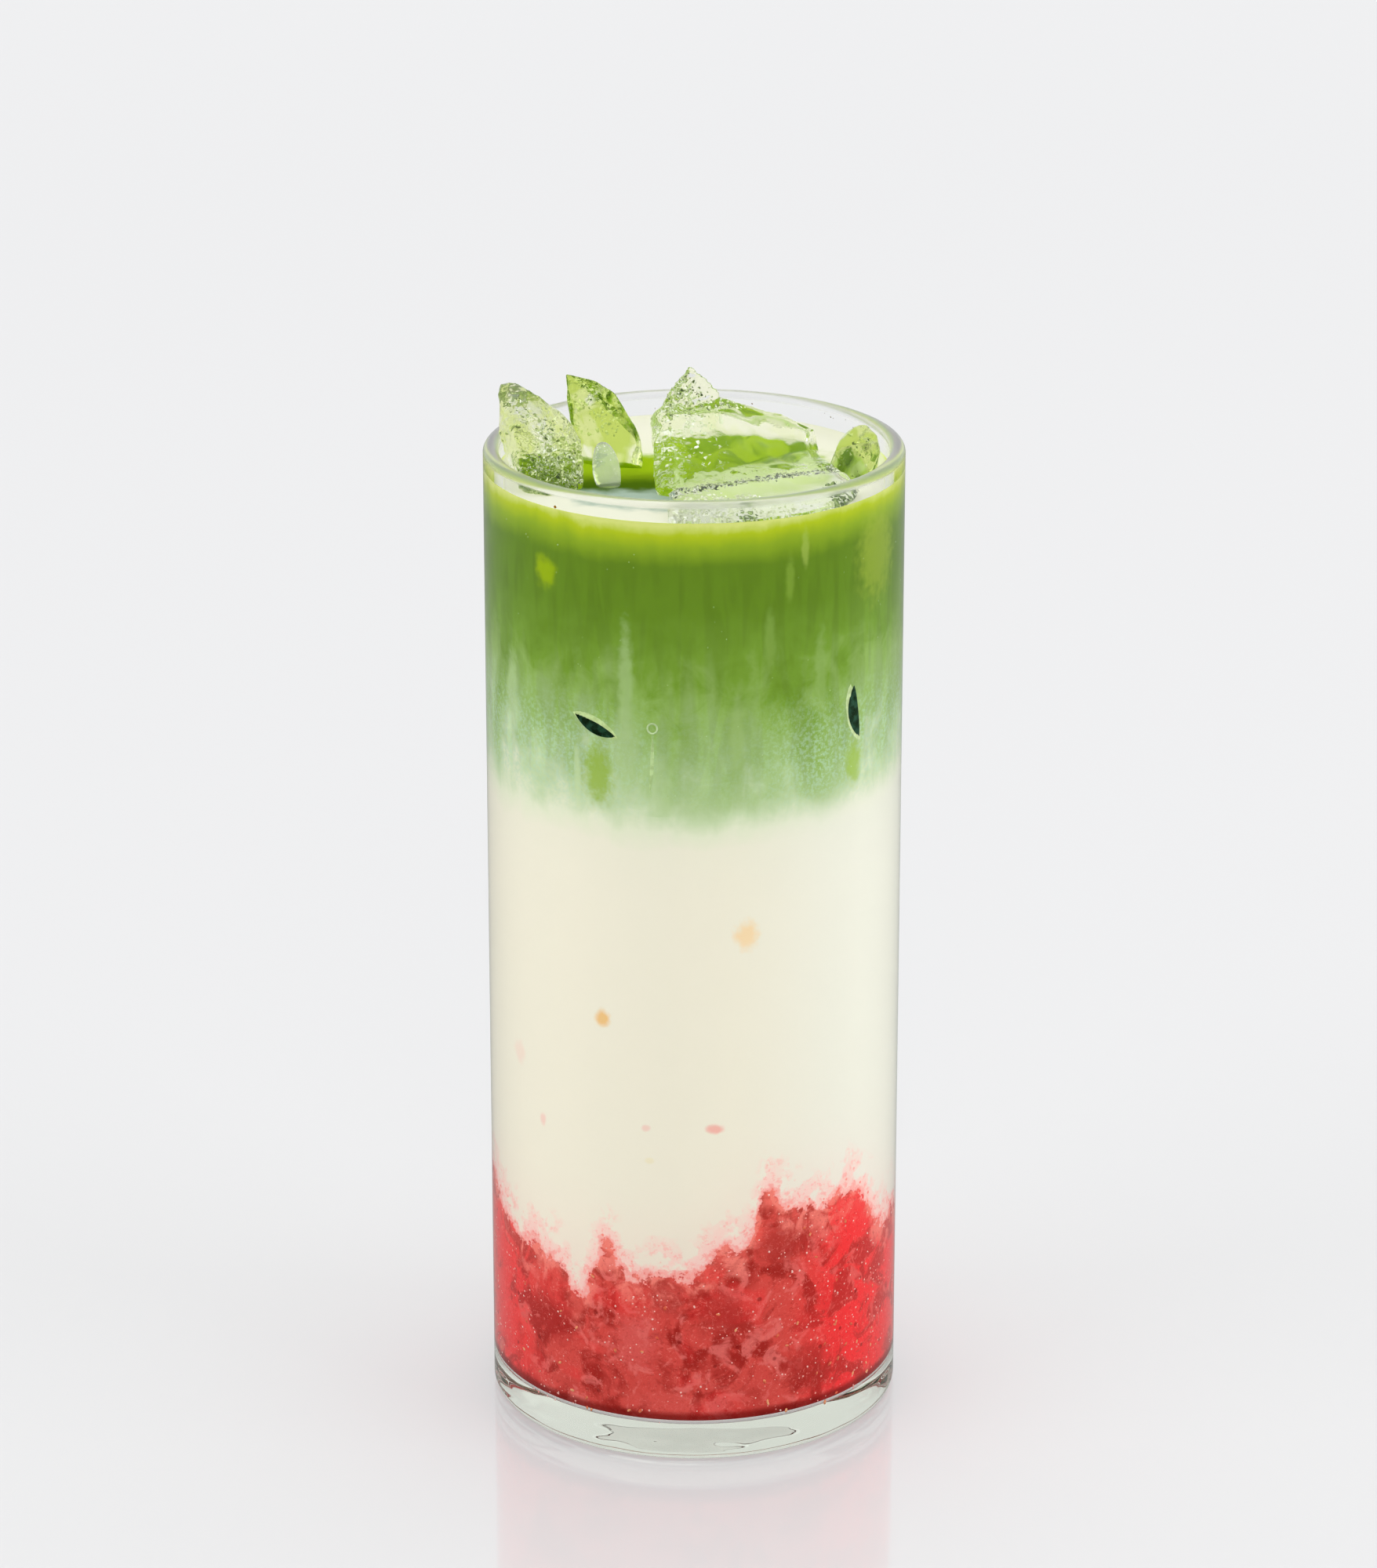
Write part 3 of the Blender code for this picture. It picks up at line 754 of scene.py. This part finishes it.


# %% [markdown]
# The stains that the photograph shows behind the wall, each with its direction, height, size,
# colour and strength, are mixed over the shared colours. The tea's last spot is painted light,
# which makes its right edge lighter and yellower.

# %% Finish of the three layers
MILK_STAINS = (
    (15.0, 89.4, (2.6, 2.6, 3.2), (240, 206, 160), 0.9),
    (-27.0, 74.7, (1.7, 1.7, 1.9), (232, 180, 112), 0.9),
    (-60.0, 64.2, (2.2, 2.2, 2.6), (238, 214, 200), 0.8),
    (6.0, 57.1, (1.9, 1.9, 1.1), (240, 168, 158), 0.9),
    (-49.0, 54.5, (0.9, 0.9, 1.4), (238, 196, 186), 0.8),
    (-14.0, 57.0, (0.9, 0.9, 0.8), (236, 190, 180), 0.7),
    (-13.0, 51.5, (1.1, 1.1, 0.7), (232, 222, 190), 0.8),
)
TEA_STAINS_AND_LIGHT = (
    (-46.0, 145.9, (3.0, 3.0, 3.4), (160, 186, 20), 0.75),
    (-28.0, 115.2, (3.4, 3.4, 6.8), (146, 174, 74), 0.9),
    (-35.0, 114.6, (0.8, 0.8, 6.6), (190, 210, 160), 0.7),
    (51.0, 114.4, (2.4, 2.4, 5.0), (156, 186, 82), 0.85),
    (-19.5, 130.0, (1.6, 1.6, 13.0), (160, 188, 122), 0.75),
    (-20.0, 119.0, (3.0, 3.0, 9.0), (172, 196, 140), 0.6),
    (-9.5, 113.0, (2.6, 2.6, 8.0), (174, 198, 142), 0.5),
    (27.6, 146.5, (1.0, 1.0, 5.0), (134, 164, 66), 0.55),
    (32.4, 151.0, (0.9, 0.9, 4.0), (170, 192, 90), 0.5),
    (21.5, 137.0, (1.2, 1.2, 7.0), (132, 163, 78), 0.6),
    (12.0, 122.0, (1.6, 1.6, 9.0), (160, 187, 118), 0.5),
    (38.0, 130.0, (1.6, 1.6, 10.0), (150, 180, 104), 0.5),
    (-62.0, 124.0, (2.4, 2.4, 9.0), (186, 208, 158), 0.5),
    # Painted light: the tea's right edge is lighter and yellower.
    (62.0, 147.0, (7.0, 7.0, 10.0), (152, 172, 62), 0.6),
)


RIDGE_SLANT = 0.52
ROOM_DEEP = (*linear(140, 174, 18), 1.0)
ROOM_BRIGHT = (*linear(178, 206, 34), 1.0)
ROOM_SKY_REFLECTION = (*linear(216, 230, 176), 1.0)
ROOM_WHITE = (*linear(248, 249, 242), 1.0)
TEA_MIDDLE = (*linear(150, 180, 26), 1.0)
TEA_PAINTED_SHADE = (*linear(70, 98, 14), 1.0)
TEA_SKY_REFLECTION = (*linear(172, 192, 178), 1.0)
TEA_FOAM = (*linear(228, 228, 208), 1.0)


def open_surface(tree, colour):
    """The tea's open top, milky near the wall, and the rooms of the ice, palest at the front."""
    place = place_in_mm(tree)
    parts = add_node(tree, "SeparateXYZ", {0: place}).outputs
    flat = stretched(tree, place, (1, 1, 0))
    from_axis = add_node(tree, "VectorMath", {0: flat}, operation="LENGTH").outputs["Value"]
    swirl = noise_at(tree, place, 0.16, detail=3.0, distortion=1.0)
    room = mix_colours(tree, fade(tree, swirl, 0.42, 0.54), ROOM_DEEP, ROOM_BRIGHT)
    rightwards = fade(tree, parts["X"], -9.0, -4.0)
    # Painted reflection of the sky: the rooms turn pale towards the front, so the ice's top looks pale.
    pale = calc(tree, "MULTIPLY", fade(tree, parts["Y"], 9.0, 4.0, 0.0, 0.9), rightwards)
    room = mix_colours(tree, pale, room, ROOM_SKY_REFLECTION)
    over_ridge = calc(tree, "MULTIPLY_ADD", parts["X"], -RIDGE_SLANT, parts["Y"])
    white = calc(tree, "MULTIPLY", fade(tree, over_ridge, -16.5, -20.0), rightwards)
    room = mix_colours(tree, white, room, ROOM_WHITE)
    ragged = calc(tree, "MULTIPLY_ADD", noise_at(tree, place, 0.2, detail=3.0), 12.0, -6.0)
    foam = fade(tree, calc(tree, "ADD", from_axis, ragged), 20.0, 25.0)
    foam = calc(tree, "MAXIMUM", foam, fade(tree, calc(tree, "ADD", parts["Y"], ragged), 7.0, 12.0))
    # Painted shade: the open tea turns darker towards the front.
    top = mix_colours(tree, fade(tree, calc(tree, "MULTIPLY_ADD", ragged, 0.4, parts["Y"]), -7.0, 3.0), TEA_PAINTED_SHADE, TEA_MIDDLE)
    # Painted reflection of the sky: a blue-grey patch at the front of the open tea.
    sky_reflection = fade(tree, calc(tree, "MULTIPLY_ADD", ragged, 0.5, parts["Y"]), -8.0, -12.0, 0.0, 0.8)
    top = mix_colours(tree, sky_reflection, top, TEA_SKY_REFLECTION)
    top = mix_colours(tree, foam, top, TEA_FOAM)
    surface = mix_colours(tree, fade(tree, parts["Z"], 154.6, 155.0), room, top)
    at_back = calc(tree, "MULTIPLY", fade(tree, parts["Y"], 4.0, 9.0), fade(tree, parts["Z"], 154.6, 155.4))
    colour = mix_colours(tree, at_back, colour, TEA_FOAM)
    return mix_colours(tree, fade(tree, from_axis, 30.5, 30.2), colour, surface)


def liquid_finish(name, piece, spots, with_fruit, roughness, gloss):
    """A dense glossy liquid whose colour comes from the shared groups."""
    material, tree, shader = new_material(name)
    colour = use_group(tree, tea_in_milk, {}).outputs["Color"]
    colour = mix_stains_and_light(tree, colour, spots, 0.8)
    if with_fruit:
        colour = use_group(tree, fruit_in_milk, {"Milk": colour}).outputs["Color"]
    else:
        colour = open_surface(tree, colour)
    tree.links.new(colour, shader.inputs["Base Color"])
    cloud = noise_at(tree, place_in_mm(tree), 0.3, detail=2.0)
    tree.links.new(fade(tree, cloud, 0.3, 0.7, roughness, roughness + 0.1), shader.inputs["Roughness"])
    shader.inputs["IOR"].default_value = 1.34
    shader.inputs["Specular IOR Level"].default_value = gloss
    piece.data.materials.append(material)


liquid_finish("crushed_strawberry", puree, (), True, 0.2, 0.0)
liquid_finish("milk", milk, MILK_STAINS, True, 0.2, 0.0)
liquid_finish("matcha", tea, TEA_STAINS_AND_LIGHT, False, 0.12, 0.0)

# %% [markdown]
# Small things against the wall. Sunk ice shows as dark slits with a pale edge, and one bubble as a
# ring. Each is a ribbon of mesh laid along the wall: a row of points, given by direction and
# height, and the ribbon's width at each of them. Seeds and air bubbles are tiny flattened balls.

# %% Ribbons and dots against the wall
SEEDED = random.Random(7)


def ribbon(name, radius, row, shade, roughness=0.4):
    """A thin strip along the wall. Each point of the row is a direction, a height and a width."""
    points = [on_wall(direction, height, radius) for direction, height, width in row]
    shape = bmesh.new()
    pairs = []
    for index, (point, (direction, height, width)) in enumerate(zip(points, row)):
        ahead = points[min(index + 1, len(points) - 1)] - points[max(index - 1, 0)]
        outwards = Vector((point.x, point.y, 0)).normalized()
        across = ahead.cross(outwards).normalized() * (width / 2)
        pair = []
        for side in (-1, 1):
            edge = point + side * across
            edge.xy = edge.xy.normalized() * (radius / MM)
            pair.append(edge)
        pairs.append([
            shape.verts.new((edge + outwards * lift) * MM)
            for edge, lift in ((pair[0], 0.0), ((pair[0] + pair[1]) / 2, 0.12), (pair[1], 0.0),
                               ((pair[0] + pair[1]) / 2, -0.12))])
    for one, two in zip(pairs, pairs[1:]):
        for side in range(4):
            shape.faces.new((one[side], one[(side + 1) % 4], two[(side + 1) % 4], two[side]))
    shape.faces.new(reversed(pairs[0]))
    shape.faces.new(pairs[-1])
    bmesh.ops.recalc_face_normals(shape, faces=shape.faces[:])
    mesh = bpy.data.meshes.new(name)
    shape.to_mesh(mesh)
    shape.free()
    piece = bpy.data.objects.new(name, mesh)
    bpy.context.scene.collection.objects.link(piece)
    material, tree, shader = new_material(name)
    mottle = noise_at(tree, place_in_mm(tree), 0.9, detail=3.0)
    dark, bright = [behind_glass(*(max(0, min(255, value + step)) for value in shade)) for step in (-14, 14)]
    tree.links.new(
        mix_colours(tree, fade(tree, mottle, 0.35, 0.65), dark, bright), shader.inputs["Base Color"])
    shader.inputs["Roughness"].default_value = roughness
    shader.inputs["Specular IOR Level"].default_value = 0.0
    mesh.materials.append(material)
    smooth(piece, 60.0)
    belongs(piece, "ice")
    return piece


def bent_row(start, end, widest, sag, count=14):
    """A lens-shaped row from one place of the wall to another, bowed by a sag in degrees and mm."""
    row = []
    for step in range(count):
        t = step / (count - 1)
        bow = math.sin(math.pi * t)
        row.append((start[0] + (end[0] - start[0]) * t + sag[0] * bow,
                    start[1] + (end[1] - start[1]) * t + sag[1] * bow,
                    max(0.08, widest * bow ** 0.7)))
    return row


SLIT_OUT = DRINK_RADIUS + 0.06 * MM
EDGE_OUT = DRINK_RADIUS - 0.02 * MM
ribbon("left_slit_edge", EDGE_OUT, bent_row((-36.2, 124.4), (-22.0, 121.2), 3.0, (0.0, 0.2)), (190, 210, 146))
ribbon("left_slit", SLIT_OUT, bent_row((-35.4, 124.2), (-22.8, 121.5), 1.9, (0.0, -0.4)), (26, 52, 38))
ribbon("right_slit_edge", EDGE_OUT, bent_row((49.6, 127.2), (53.8, 117.4), 3.3, (-1.6, 0.0)), (198, 216, 160))
ribbon("right_slit", SLIT_OUT, bent_row((51.0, 126.8), (53.4, 118.2), 2.3, (-1.4, 0.0)), (30, 58, 44))
ribbon("brown_speck", SLIT_OUT, bent_row((-42.5, 156.6), (-41.5, 156.6), 0.5, (0.0, 0.0), 6), (140, 96, 24))
RING_TURN = [math.tau * step / 20 for step in range(21)]
ribbon("ring_bubble", SLIT_OUT, [
    (-11.8 + 1.4 * math.sin(turn), 123.4 + 0.8 * math.cos(turn), 0.3) for turn in RING_TURN], (188, 208, 160))
ribbon("ring_bubble_trail", EDGE_OUT, bent_row((-11.8, 122.4), (-12.6, 113.0), 0.7, (0.3, 0.0)), (176, 200, 140))


def dots(name, count, wanted, sizes, stretch, shades, slot):
    """Tiny flattened balls against the wall, as one mesh, where the rule wants them."""
    shape = bmesh.new()
    made = 0
    while made < count:
        direction, height = SEEDED.uniform(-180, 180), SEEDED.uniform(6, 159)
        if not wanted(direction, height):
            continue
        size = SEEDED.uniform(*sizes) * MM
        spin = Vector((math.sin(math.radians(direction)), -math.cos(math.radians(direction)), 0))
        turn = spin.to_track_quat("Z", "Y").to_matrix().to_4x4()
        turn.translation = on_wall(direction, height, DRINK_RADIUS) * MM
        ball = bmesh.ops.create_icosphere(shape, subdivisions=1, radius=size)["verts"]
        tilt = SEEDED.uniform(0, math.pi)
        for vertex in ball:
            x, y = vertex.co.x * stretch, vertex.co.y
            vertex.co.x = x * math.cos(tilt) - y * math.sin(tilt)
            vertex.co.y = x * math.sin(tilt) + y * math.cos(tilt)
            vertex.co.z *= 0.5
        bmesh.ops.transform(shape, matrix=turn, verts=ball)
        made += 1
    mesh = bpy.data.meshes.new(name)
    shape.to_mesh(mesh)
    shape.free()
    piece = bpy.data.objects.new(name, mesh)
    bpy.context.scene.collection.objects.link(piece)
    take(piece)
    bpy.ops.object.shade_smooth()
    material, tree, shader = new_material(name)
    lots = noise_at(tree, place_in_mm(tree), 0.8, detail=1.0)
    tree.links.new(mix_colours(tree, fade(tree, lots, 0.4, 0.6), *(behind_glass(*shade) for shade in shades)),
                   shader.inputs["Base Color"])
    shader.inputs["Roughness"].default_value = 0.35
    shader.inputs["Specular IOR Level"].default_value = 0.2
    mesh.materials.append(material)
    belongs(piece, slot)
    return piece


def in_fruit(direction, height):
    place = on_wall(direction, height)
    depth = puree_height(place.x, place.y) - height
    clumps = noise.noise(Vector((direction / 9.0, height / 5.0, 3.0)))
    return depth > 0.5 and clumps > (-0.25 if 20 < direction < 70 else 0.0)


# The air bubbles in the fruit are pale dots: real bubbles whose brightness is a painted highlight.
dots("fruit_bubble_highlights", 900, in_fruit, (0.07, 0.2), 1.2, ((244, 150, 140), (255, 214, 204)), "strawberry_puree")
dots("strawberry_seeds", 90, in_fruit, (0.2, 0.3), 1.7, ((214, 96, 70), (238, 168, 120)), "strawberry_puree")
dots("tea_bubbles", 160, lambda direction, height: 111 < height < 152 and noise.noise(
    Vector((direction / 12.0, height / 6.0, 9.0))) > 0.15, (0.06, 0.12), 1.0,
    ((160, 188, 110), (190, 210, 160)), "matcha")

dots("tea_specks", 18, lambda direction, height: abs(direction) > 105 and 156.8 < height or height > 158.6,
     (0.06, 0.12), 1.4, ((120, 84, 30), (96, 92, 40)), "matcha")

# %% [markdown]
# Ice. Each piece starts as a copy of its solid, because its facets are right. A voxel remesh gives
# it an even skin, and two Displace modifiers roughen that: broad waves, as melting leaves them, and
# small ones where the ice is frosty.

# %% Model the ice
ICE_WAVES = bpy.data.textures.new("melt_waves", "CLOUDS")
ICE_WAVES.noise_scale = 5.0 * MM
ICE_WAVES.noise_depth = 1
ICE_FROST = bpy.data.textures.new("frost", "CLOUDS")
ICE_FROST.noise_scale = 0.9 * MM
ICE_FROST.noise_depth = 1
ROOM_IN_TEA = -0.35


def solid_copy(node, name):
    """A merged copy of a node's mesh as an object of its own."""
    piece = bpy.data.objects.new(name, nodes[node].data.copy())
    bpy.context.scene.collection.objects.link(piece)
    piece.data.materials.clear()
    open_mesh(piece)
    bpy.ops.mesh.select_all(action="SELECT")
    bpy.ops.mesh.remove_doubles(threshold=CLOSE)
    bpy.ops.mesh.customdata_custom_splitnormals_clear()
    close_mesh()
    return piece


def frost_weight(piece, rule):
    """A vertex group that says where the ice is frosty."""
    group = piece.vertex_groups.new(name="frost")
    for vertex in piece.data.vertices:
        group.add([vertex.index], max(0.0, min(1.0, rule(vertex.co / MM))), "REPLACE")


def ice_piece(node, name, voxel, waves, frost, frost_rule):
    piece = solid_copy(node, name)
    use_modifier(piece, "REMESH", mode="VOXEL", voxel_size=voxel * MM)
    use_modifier(piece, "SMOOTH", factor=0.5, iterations=3)
    use_modifier(piece, "DISPLACE", texture=ICE_WAVES, texture_coords="LOCAL", strength=waves * MM,
                 mid_level=0.55)
    frost_weight(piece, frost_rule)
    use_modifier(piece, "DISPLACE", texture=ICE_FROST, texture_coords="LOCAL", strength=frost * MM,
                 mid_level=0.6, vertex_group="frost")
    take(piece)
    bpy.ops.object.shade_smooth()
    return piece


def left_frost(place):
    return 0.35 + 0.65 * max(0.0, min(1.0, (164.0 - place.z) / 8.0))


def large_frost(place):
    ridge = math.exp(-((place.y + 11.0 - 0.3 * (place.x - 5.0)) / 2.2) ** 2)
    peak = math.exp(-((place.x + 3.0) / 4.0) ** 2) * (place.z > 160.0)
    return max(ridge * (place.z > 156.5), 0.6 * peak)


ice_left = ice_piece("ice_left", "cracked_ice_left", 0.22, 0.9, 0.75, left_frost)
ice_fin = ice_piece("ice_fin", "cracked_ice_fin", 0.25, 0.8, 0.2, lambda place: 0.3)
ice_large = ice_piece("ice_large", "cracked_ice_large", 0.32, 1.0, 0.8, large_frost)
ice_right = ice_piece("ice_right", "cracked_ice_right", 0.25, 0.8, 0.3, lambda place: 0.4)
ice_nub = ice_piece("ice_nub", "melted_ice_nub", 0.15, 0.4, 0.1, lambda place: 0.2)
ICE = {"ice_left": ice_left, "ice_fin": ice_fin, "ice_large": ice_large, "ice_right": ice_right,
       "ice_nub": ice_nub}

# %% [markdown]
# Clear ice bends light less than glass. Its frosty parts scatter it, so roughness follows noise.

# %% Finish of the ice
def ice_finish(name, stain_tint, stain_start):
    """Clear ice, tinted where noise is high: a start under 0.5 stains more than half of it."""
    material, tree, shader = new_material(name)
    place = place_in_mm(tree)
    frosty = noise_at(tree, place, 0.35, detail=4.0, roughness=0.6)
    tree.links.new(fade(tree, frosty, 0.52, 0.75, 0.0, 0.12), shader.inputs["Roughness"])
    stained = noise_at(tree, place, 0.2, detail=2.0)
    share = fade(tree, stained, stain_start, stain_start + 0.1)
    tint = mix_colours(tree, share, (0.955, 0.962, 0.935, 1), (*stain_tint, 1))
    tree.links.new(tint, shader.inputs["Base Color"])
    fine = noise_at(tree, place, 2.5, detail=3.0)
    bump = add_node(tree, "Bump", {"Strength": 0.25, "Distance": 0.1 * MM, "Height": fine})
    tree.links.new(bump.outputs["Normal"], shader.inputs["Normal"])
    shader.inputs["IOR"].default_value = 1.31
    shader.inputs["Transmission Weight"].default_value = 1.0
    let_lamps_through(tree, shader, (0.95, 0.98, 0.9, 1.0))
    return material


clear_ice = ice_finish("clear_ice", (0.89, 0.93, 0.72), 0.48)
green_ice = ice_finish("green_ice", (0.60, 0.73, 0.18), 0.36)
milky_ice = ice_finish("milky_ice", (0.84, 0.88, 0.74), 0.47)
milky_ice.node_tree.nodes["Principled BSDF"].inputs["Transmission Weight"].default_value = 0.8
FINISHES = {"ice_left": ice_finish("frosty_ice", (0.76, 0.84, 0.40), 0.43), "ice_fin": green_ice,
            "ice_large": clear_ice, "ice_right": green_ice, "ice_nub": milky_ice}
for node, piece in ICE.items():
    piece.data.materials.append(FINISHES[node])
    belongs(piece, "ice", node)

# %% [markdown]
# Cracks and trapped air inside the ice scatter light. They are strewn as small bent flakes that lie
# wholly inside each piece, thickest where the photograph shows it crushed.

# %% Flakes inside the ice
FLAKE_THICKNESS = 0.05


def is_inside(piece, place):
    """Whether a point is inside a closed mesh: a ray to each side then leaves it through a back."""
    for axis in range(3):
        for sign in (1, -1):
            way = Vector((0, 0, 0))
            way[axis] = sign
            hit, spot, normal, index = piece.ray_cast(place, way)
            if not hit or normal.dot(way) <= 0:
                return False
    return True


def flakes_in(piece, name, count, sizes, depths, wanted, finish):
    """Flakes inside a piece of ice, as one mesh, at depths under its skin where the rule wants them."""
    corners = [Vector(corner) for corner in piece.bound_box]
    low, high = [Vector(pick(c[axis] for c in corners) for axis in range(3)) for pick in (min, max)]
    shape = bmesh.new()
    made = tries = 0
    while made < count and tries < 600 * count:
        tries += 1
        place = Vector(SEEDED.uniform(low[axis], high[axis]) for axis in range(3))
        if not wanted(place / MM):
            continue
        found, near, normal, index = piece.closest_point_on_mesh(place)
        away = place - near
        if not depths[0] * MM < away.length < depths[1] * MM or not is_inside(piece, place):
            continue
        size = min(SEEDED.uniform(*sizes) * MM, 0.8 * away.length)
        facing = Vector(SEEDED.gauss(0, 1) for axis in range(3)).normalized()
        side = facing.orthogonal().normalized()
        other = facing.cross(side)
        rim = []
        for step in range(5):
            turn = math.tau * (step + SEEDED.uniform(-0.3, 0.3)) / 5
            reach = size * SEEDED.uniform(0.45, 1.0)
            rim.append(shape.verts.new(place + reach * (math.cos(turn) * side + math.sin(turn) * other)))
        tops = [shape.verts.new(place + way * FLAKE_THICKNESS * MM * facing) for way in (1, -1)]
        for step in range(5):
            one, two = rim[step], rim[(step + 1) % 5]
            shape.faces.new((one, two, tops[0]))
            shape.faces.new((two, one, tops[1]))
        made += 1
    mesh = bpy.data.meshes.new(name)
    shape.to_mesh(mesh)
    shape.free()
    flakes = bpy.data.objects.new(name, mesh)
    bpy.context.scene.collection.objects.link(flakes)
    mesh.materials.append(finish)
    belongs(flakes, "ice")
    return flakes


def flake_finish(name, dark, middle, bright):
    """Three tones that follow noise, so that neighbouring flakes differ."""
    material, tree, shader = new_material(name)
    tone = noise_at(tree, place_in_mm(tree), 1.3, detail=2.0)
    shade = mix_colours(tree, fade(tree, tone, 0.36, 0.5), (*linear(*dark), 1.0), (*linear(*middle), 1.0))
    shade = mix_colours(tree, fade(tree, tone, 0.48, 0.6), shade, (*linear(*bright), 1.0))
    tree.links.new(shade, shader.inputs["Base Color"])
    shader.inputs["Roughness"].default_value = 0.5
    return material


crushed = flake_finish("cracks_in_ice", (60, 80, 30), (190, 205, 140), (250, 252, 244))
sooty = flake_finish("dark_cracks_in_ice", (34, 52, 24), (92, 112, 54), (236, 241, 224))
mossy = flake_finish("green_cracks_in_ice", (56, 80, 30), (104, 132, 60), (176, 196, 130))
airy = flake_finish("air_in_ice", (205, 214, 176), (232, 236, 214), (252, 253, 247))


def clumped(place, seed, level):
    return noise.noise(place / 2.6 + Vector((seed, 0, 0))) > level


flakes_in(ice_left, "cracks_left", 700, (0.2, 0.6), (0.25, 3.0), lambda place: clumped(
    place, 1, 0.25 if place.z > 163 or place.x < -25 else -0.25), crushed)
flakes_in(ice_fin, "air_in_fin", 160, (0.2, 0.5), (0.3, 1.6), lambda place: clumped(
    place, 2, -0.1) and 160 < place.z < 166 and place.x < -12, airy)
flakes_in(ice_large, "cracks_peak", 260, (0.2, 0.5), (0.25, 2.0), lambda place: place.z > 163.5 and clumped(
    place, 3, -0.2), crushed)
flakes_in(ice_large, "cracks_ridge", 700, (0.2, 0.55), (0.2, 1.4), lambda place: place.z > 156.4 and clumped(
    place, 4, -0.6) and abs(place.y - RIDGE_SLANT * place.x + 18.2) < 1.3 and place.y < -4, sooty)
FRONT_POCKET = Vector((8.0, -26.0, 155.8))
flakes_in(ice_large, "air_in_front", 560, (0.25, 0.7), (0.4, 2.5), lambda place: place.y < -19 and clumped(
    place, 5, -0.3) and place.z > 153.5 and (place - FRONT_POCKET).length > 2.2, airy)
flakes_in(ice_large, "air_in_body", 260, (0.2, 0.6), (0.4, 2.5), lambda place: place.y > -8 and clumped(
    place, 6, 0.15) and place.x < 4, airy)
flakes_in(ice_large, "pocket_in_front", 120, (0.4, 0.7), (0.1, 3.0), lambda place: (
    place - FRONT_POCKET).length < 1.9, mossy)
flakes_in(ice_large, "pocket_at_right", 130, (0.3, 0.7), (0.1, 3.0), lambda place: (
    place - Vector((23.0, -16.0, 156.6))).length < 3.4, mossy)
flakes_in(ice_right, "cracks_right", 60, (0.2, 0.5), (0.3, 2.0), lambda place: clumped(place, 7, 0.2), crushed)
flakes_in(ice_nub, "air_in_nub", 40, (0.1, 0.2), (0.2, 0.5), lambda place: place.z > 157, airy)

# %% [markdown]
# The ice is sunk in the tea, so the tea is cut round it. The cutters are the ice's solids, made a
# little smaller, and so the tea reaches just into the ice and no air gap shows between them.

# %% Cut the tea round the ice
for node in ICE:
    cutter = solid_copy(node, node + "_room")
    use_modifier(cutter, "REMESH", mode="VOXEL", voxel_size=0.5 * MM)
    use_modifier(cutter, "DISPLACE", strength=ROOM_IN_TEA * MM, mid_level=0.0)
    use_modifier(tea, "BOOLEAN", operation="DIFFERENCE", object=cutter, solver="MANIFOLD")
    bpy.data.objects.remove(cutter, do_unlink=True)
smooth(tea, 40.0)
belongs(puree, "strawberry_puree", "strawberry_puree")
belongs(milk, "milk", "milk")
belongs(tea, "matcha", "matcha")
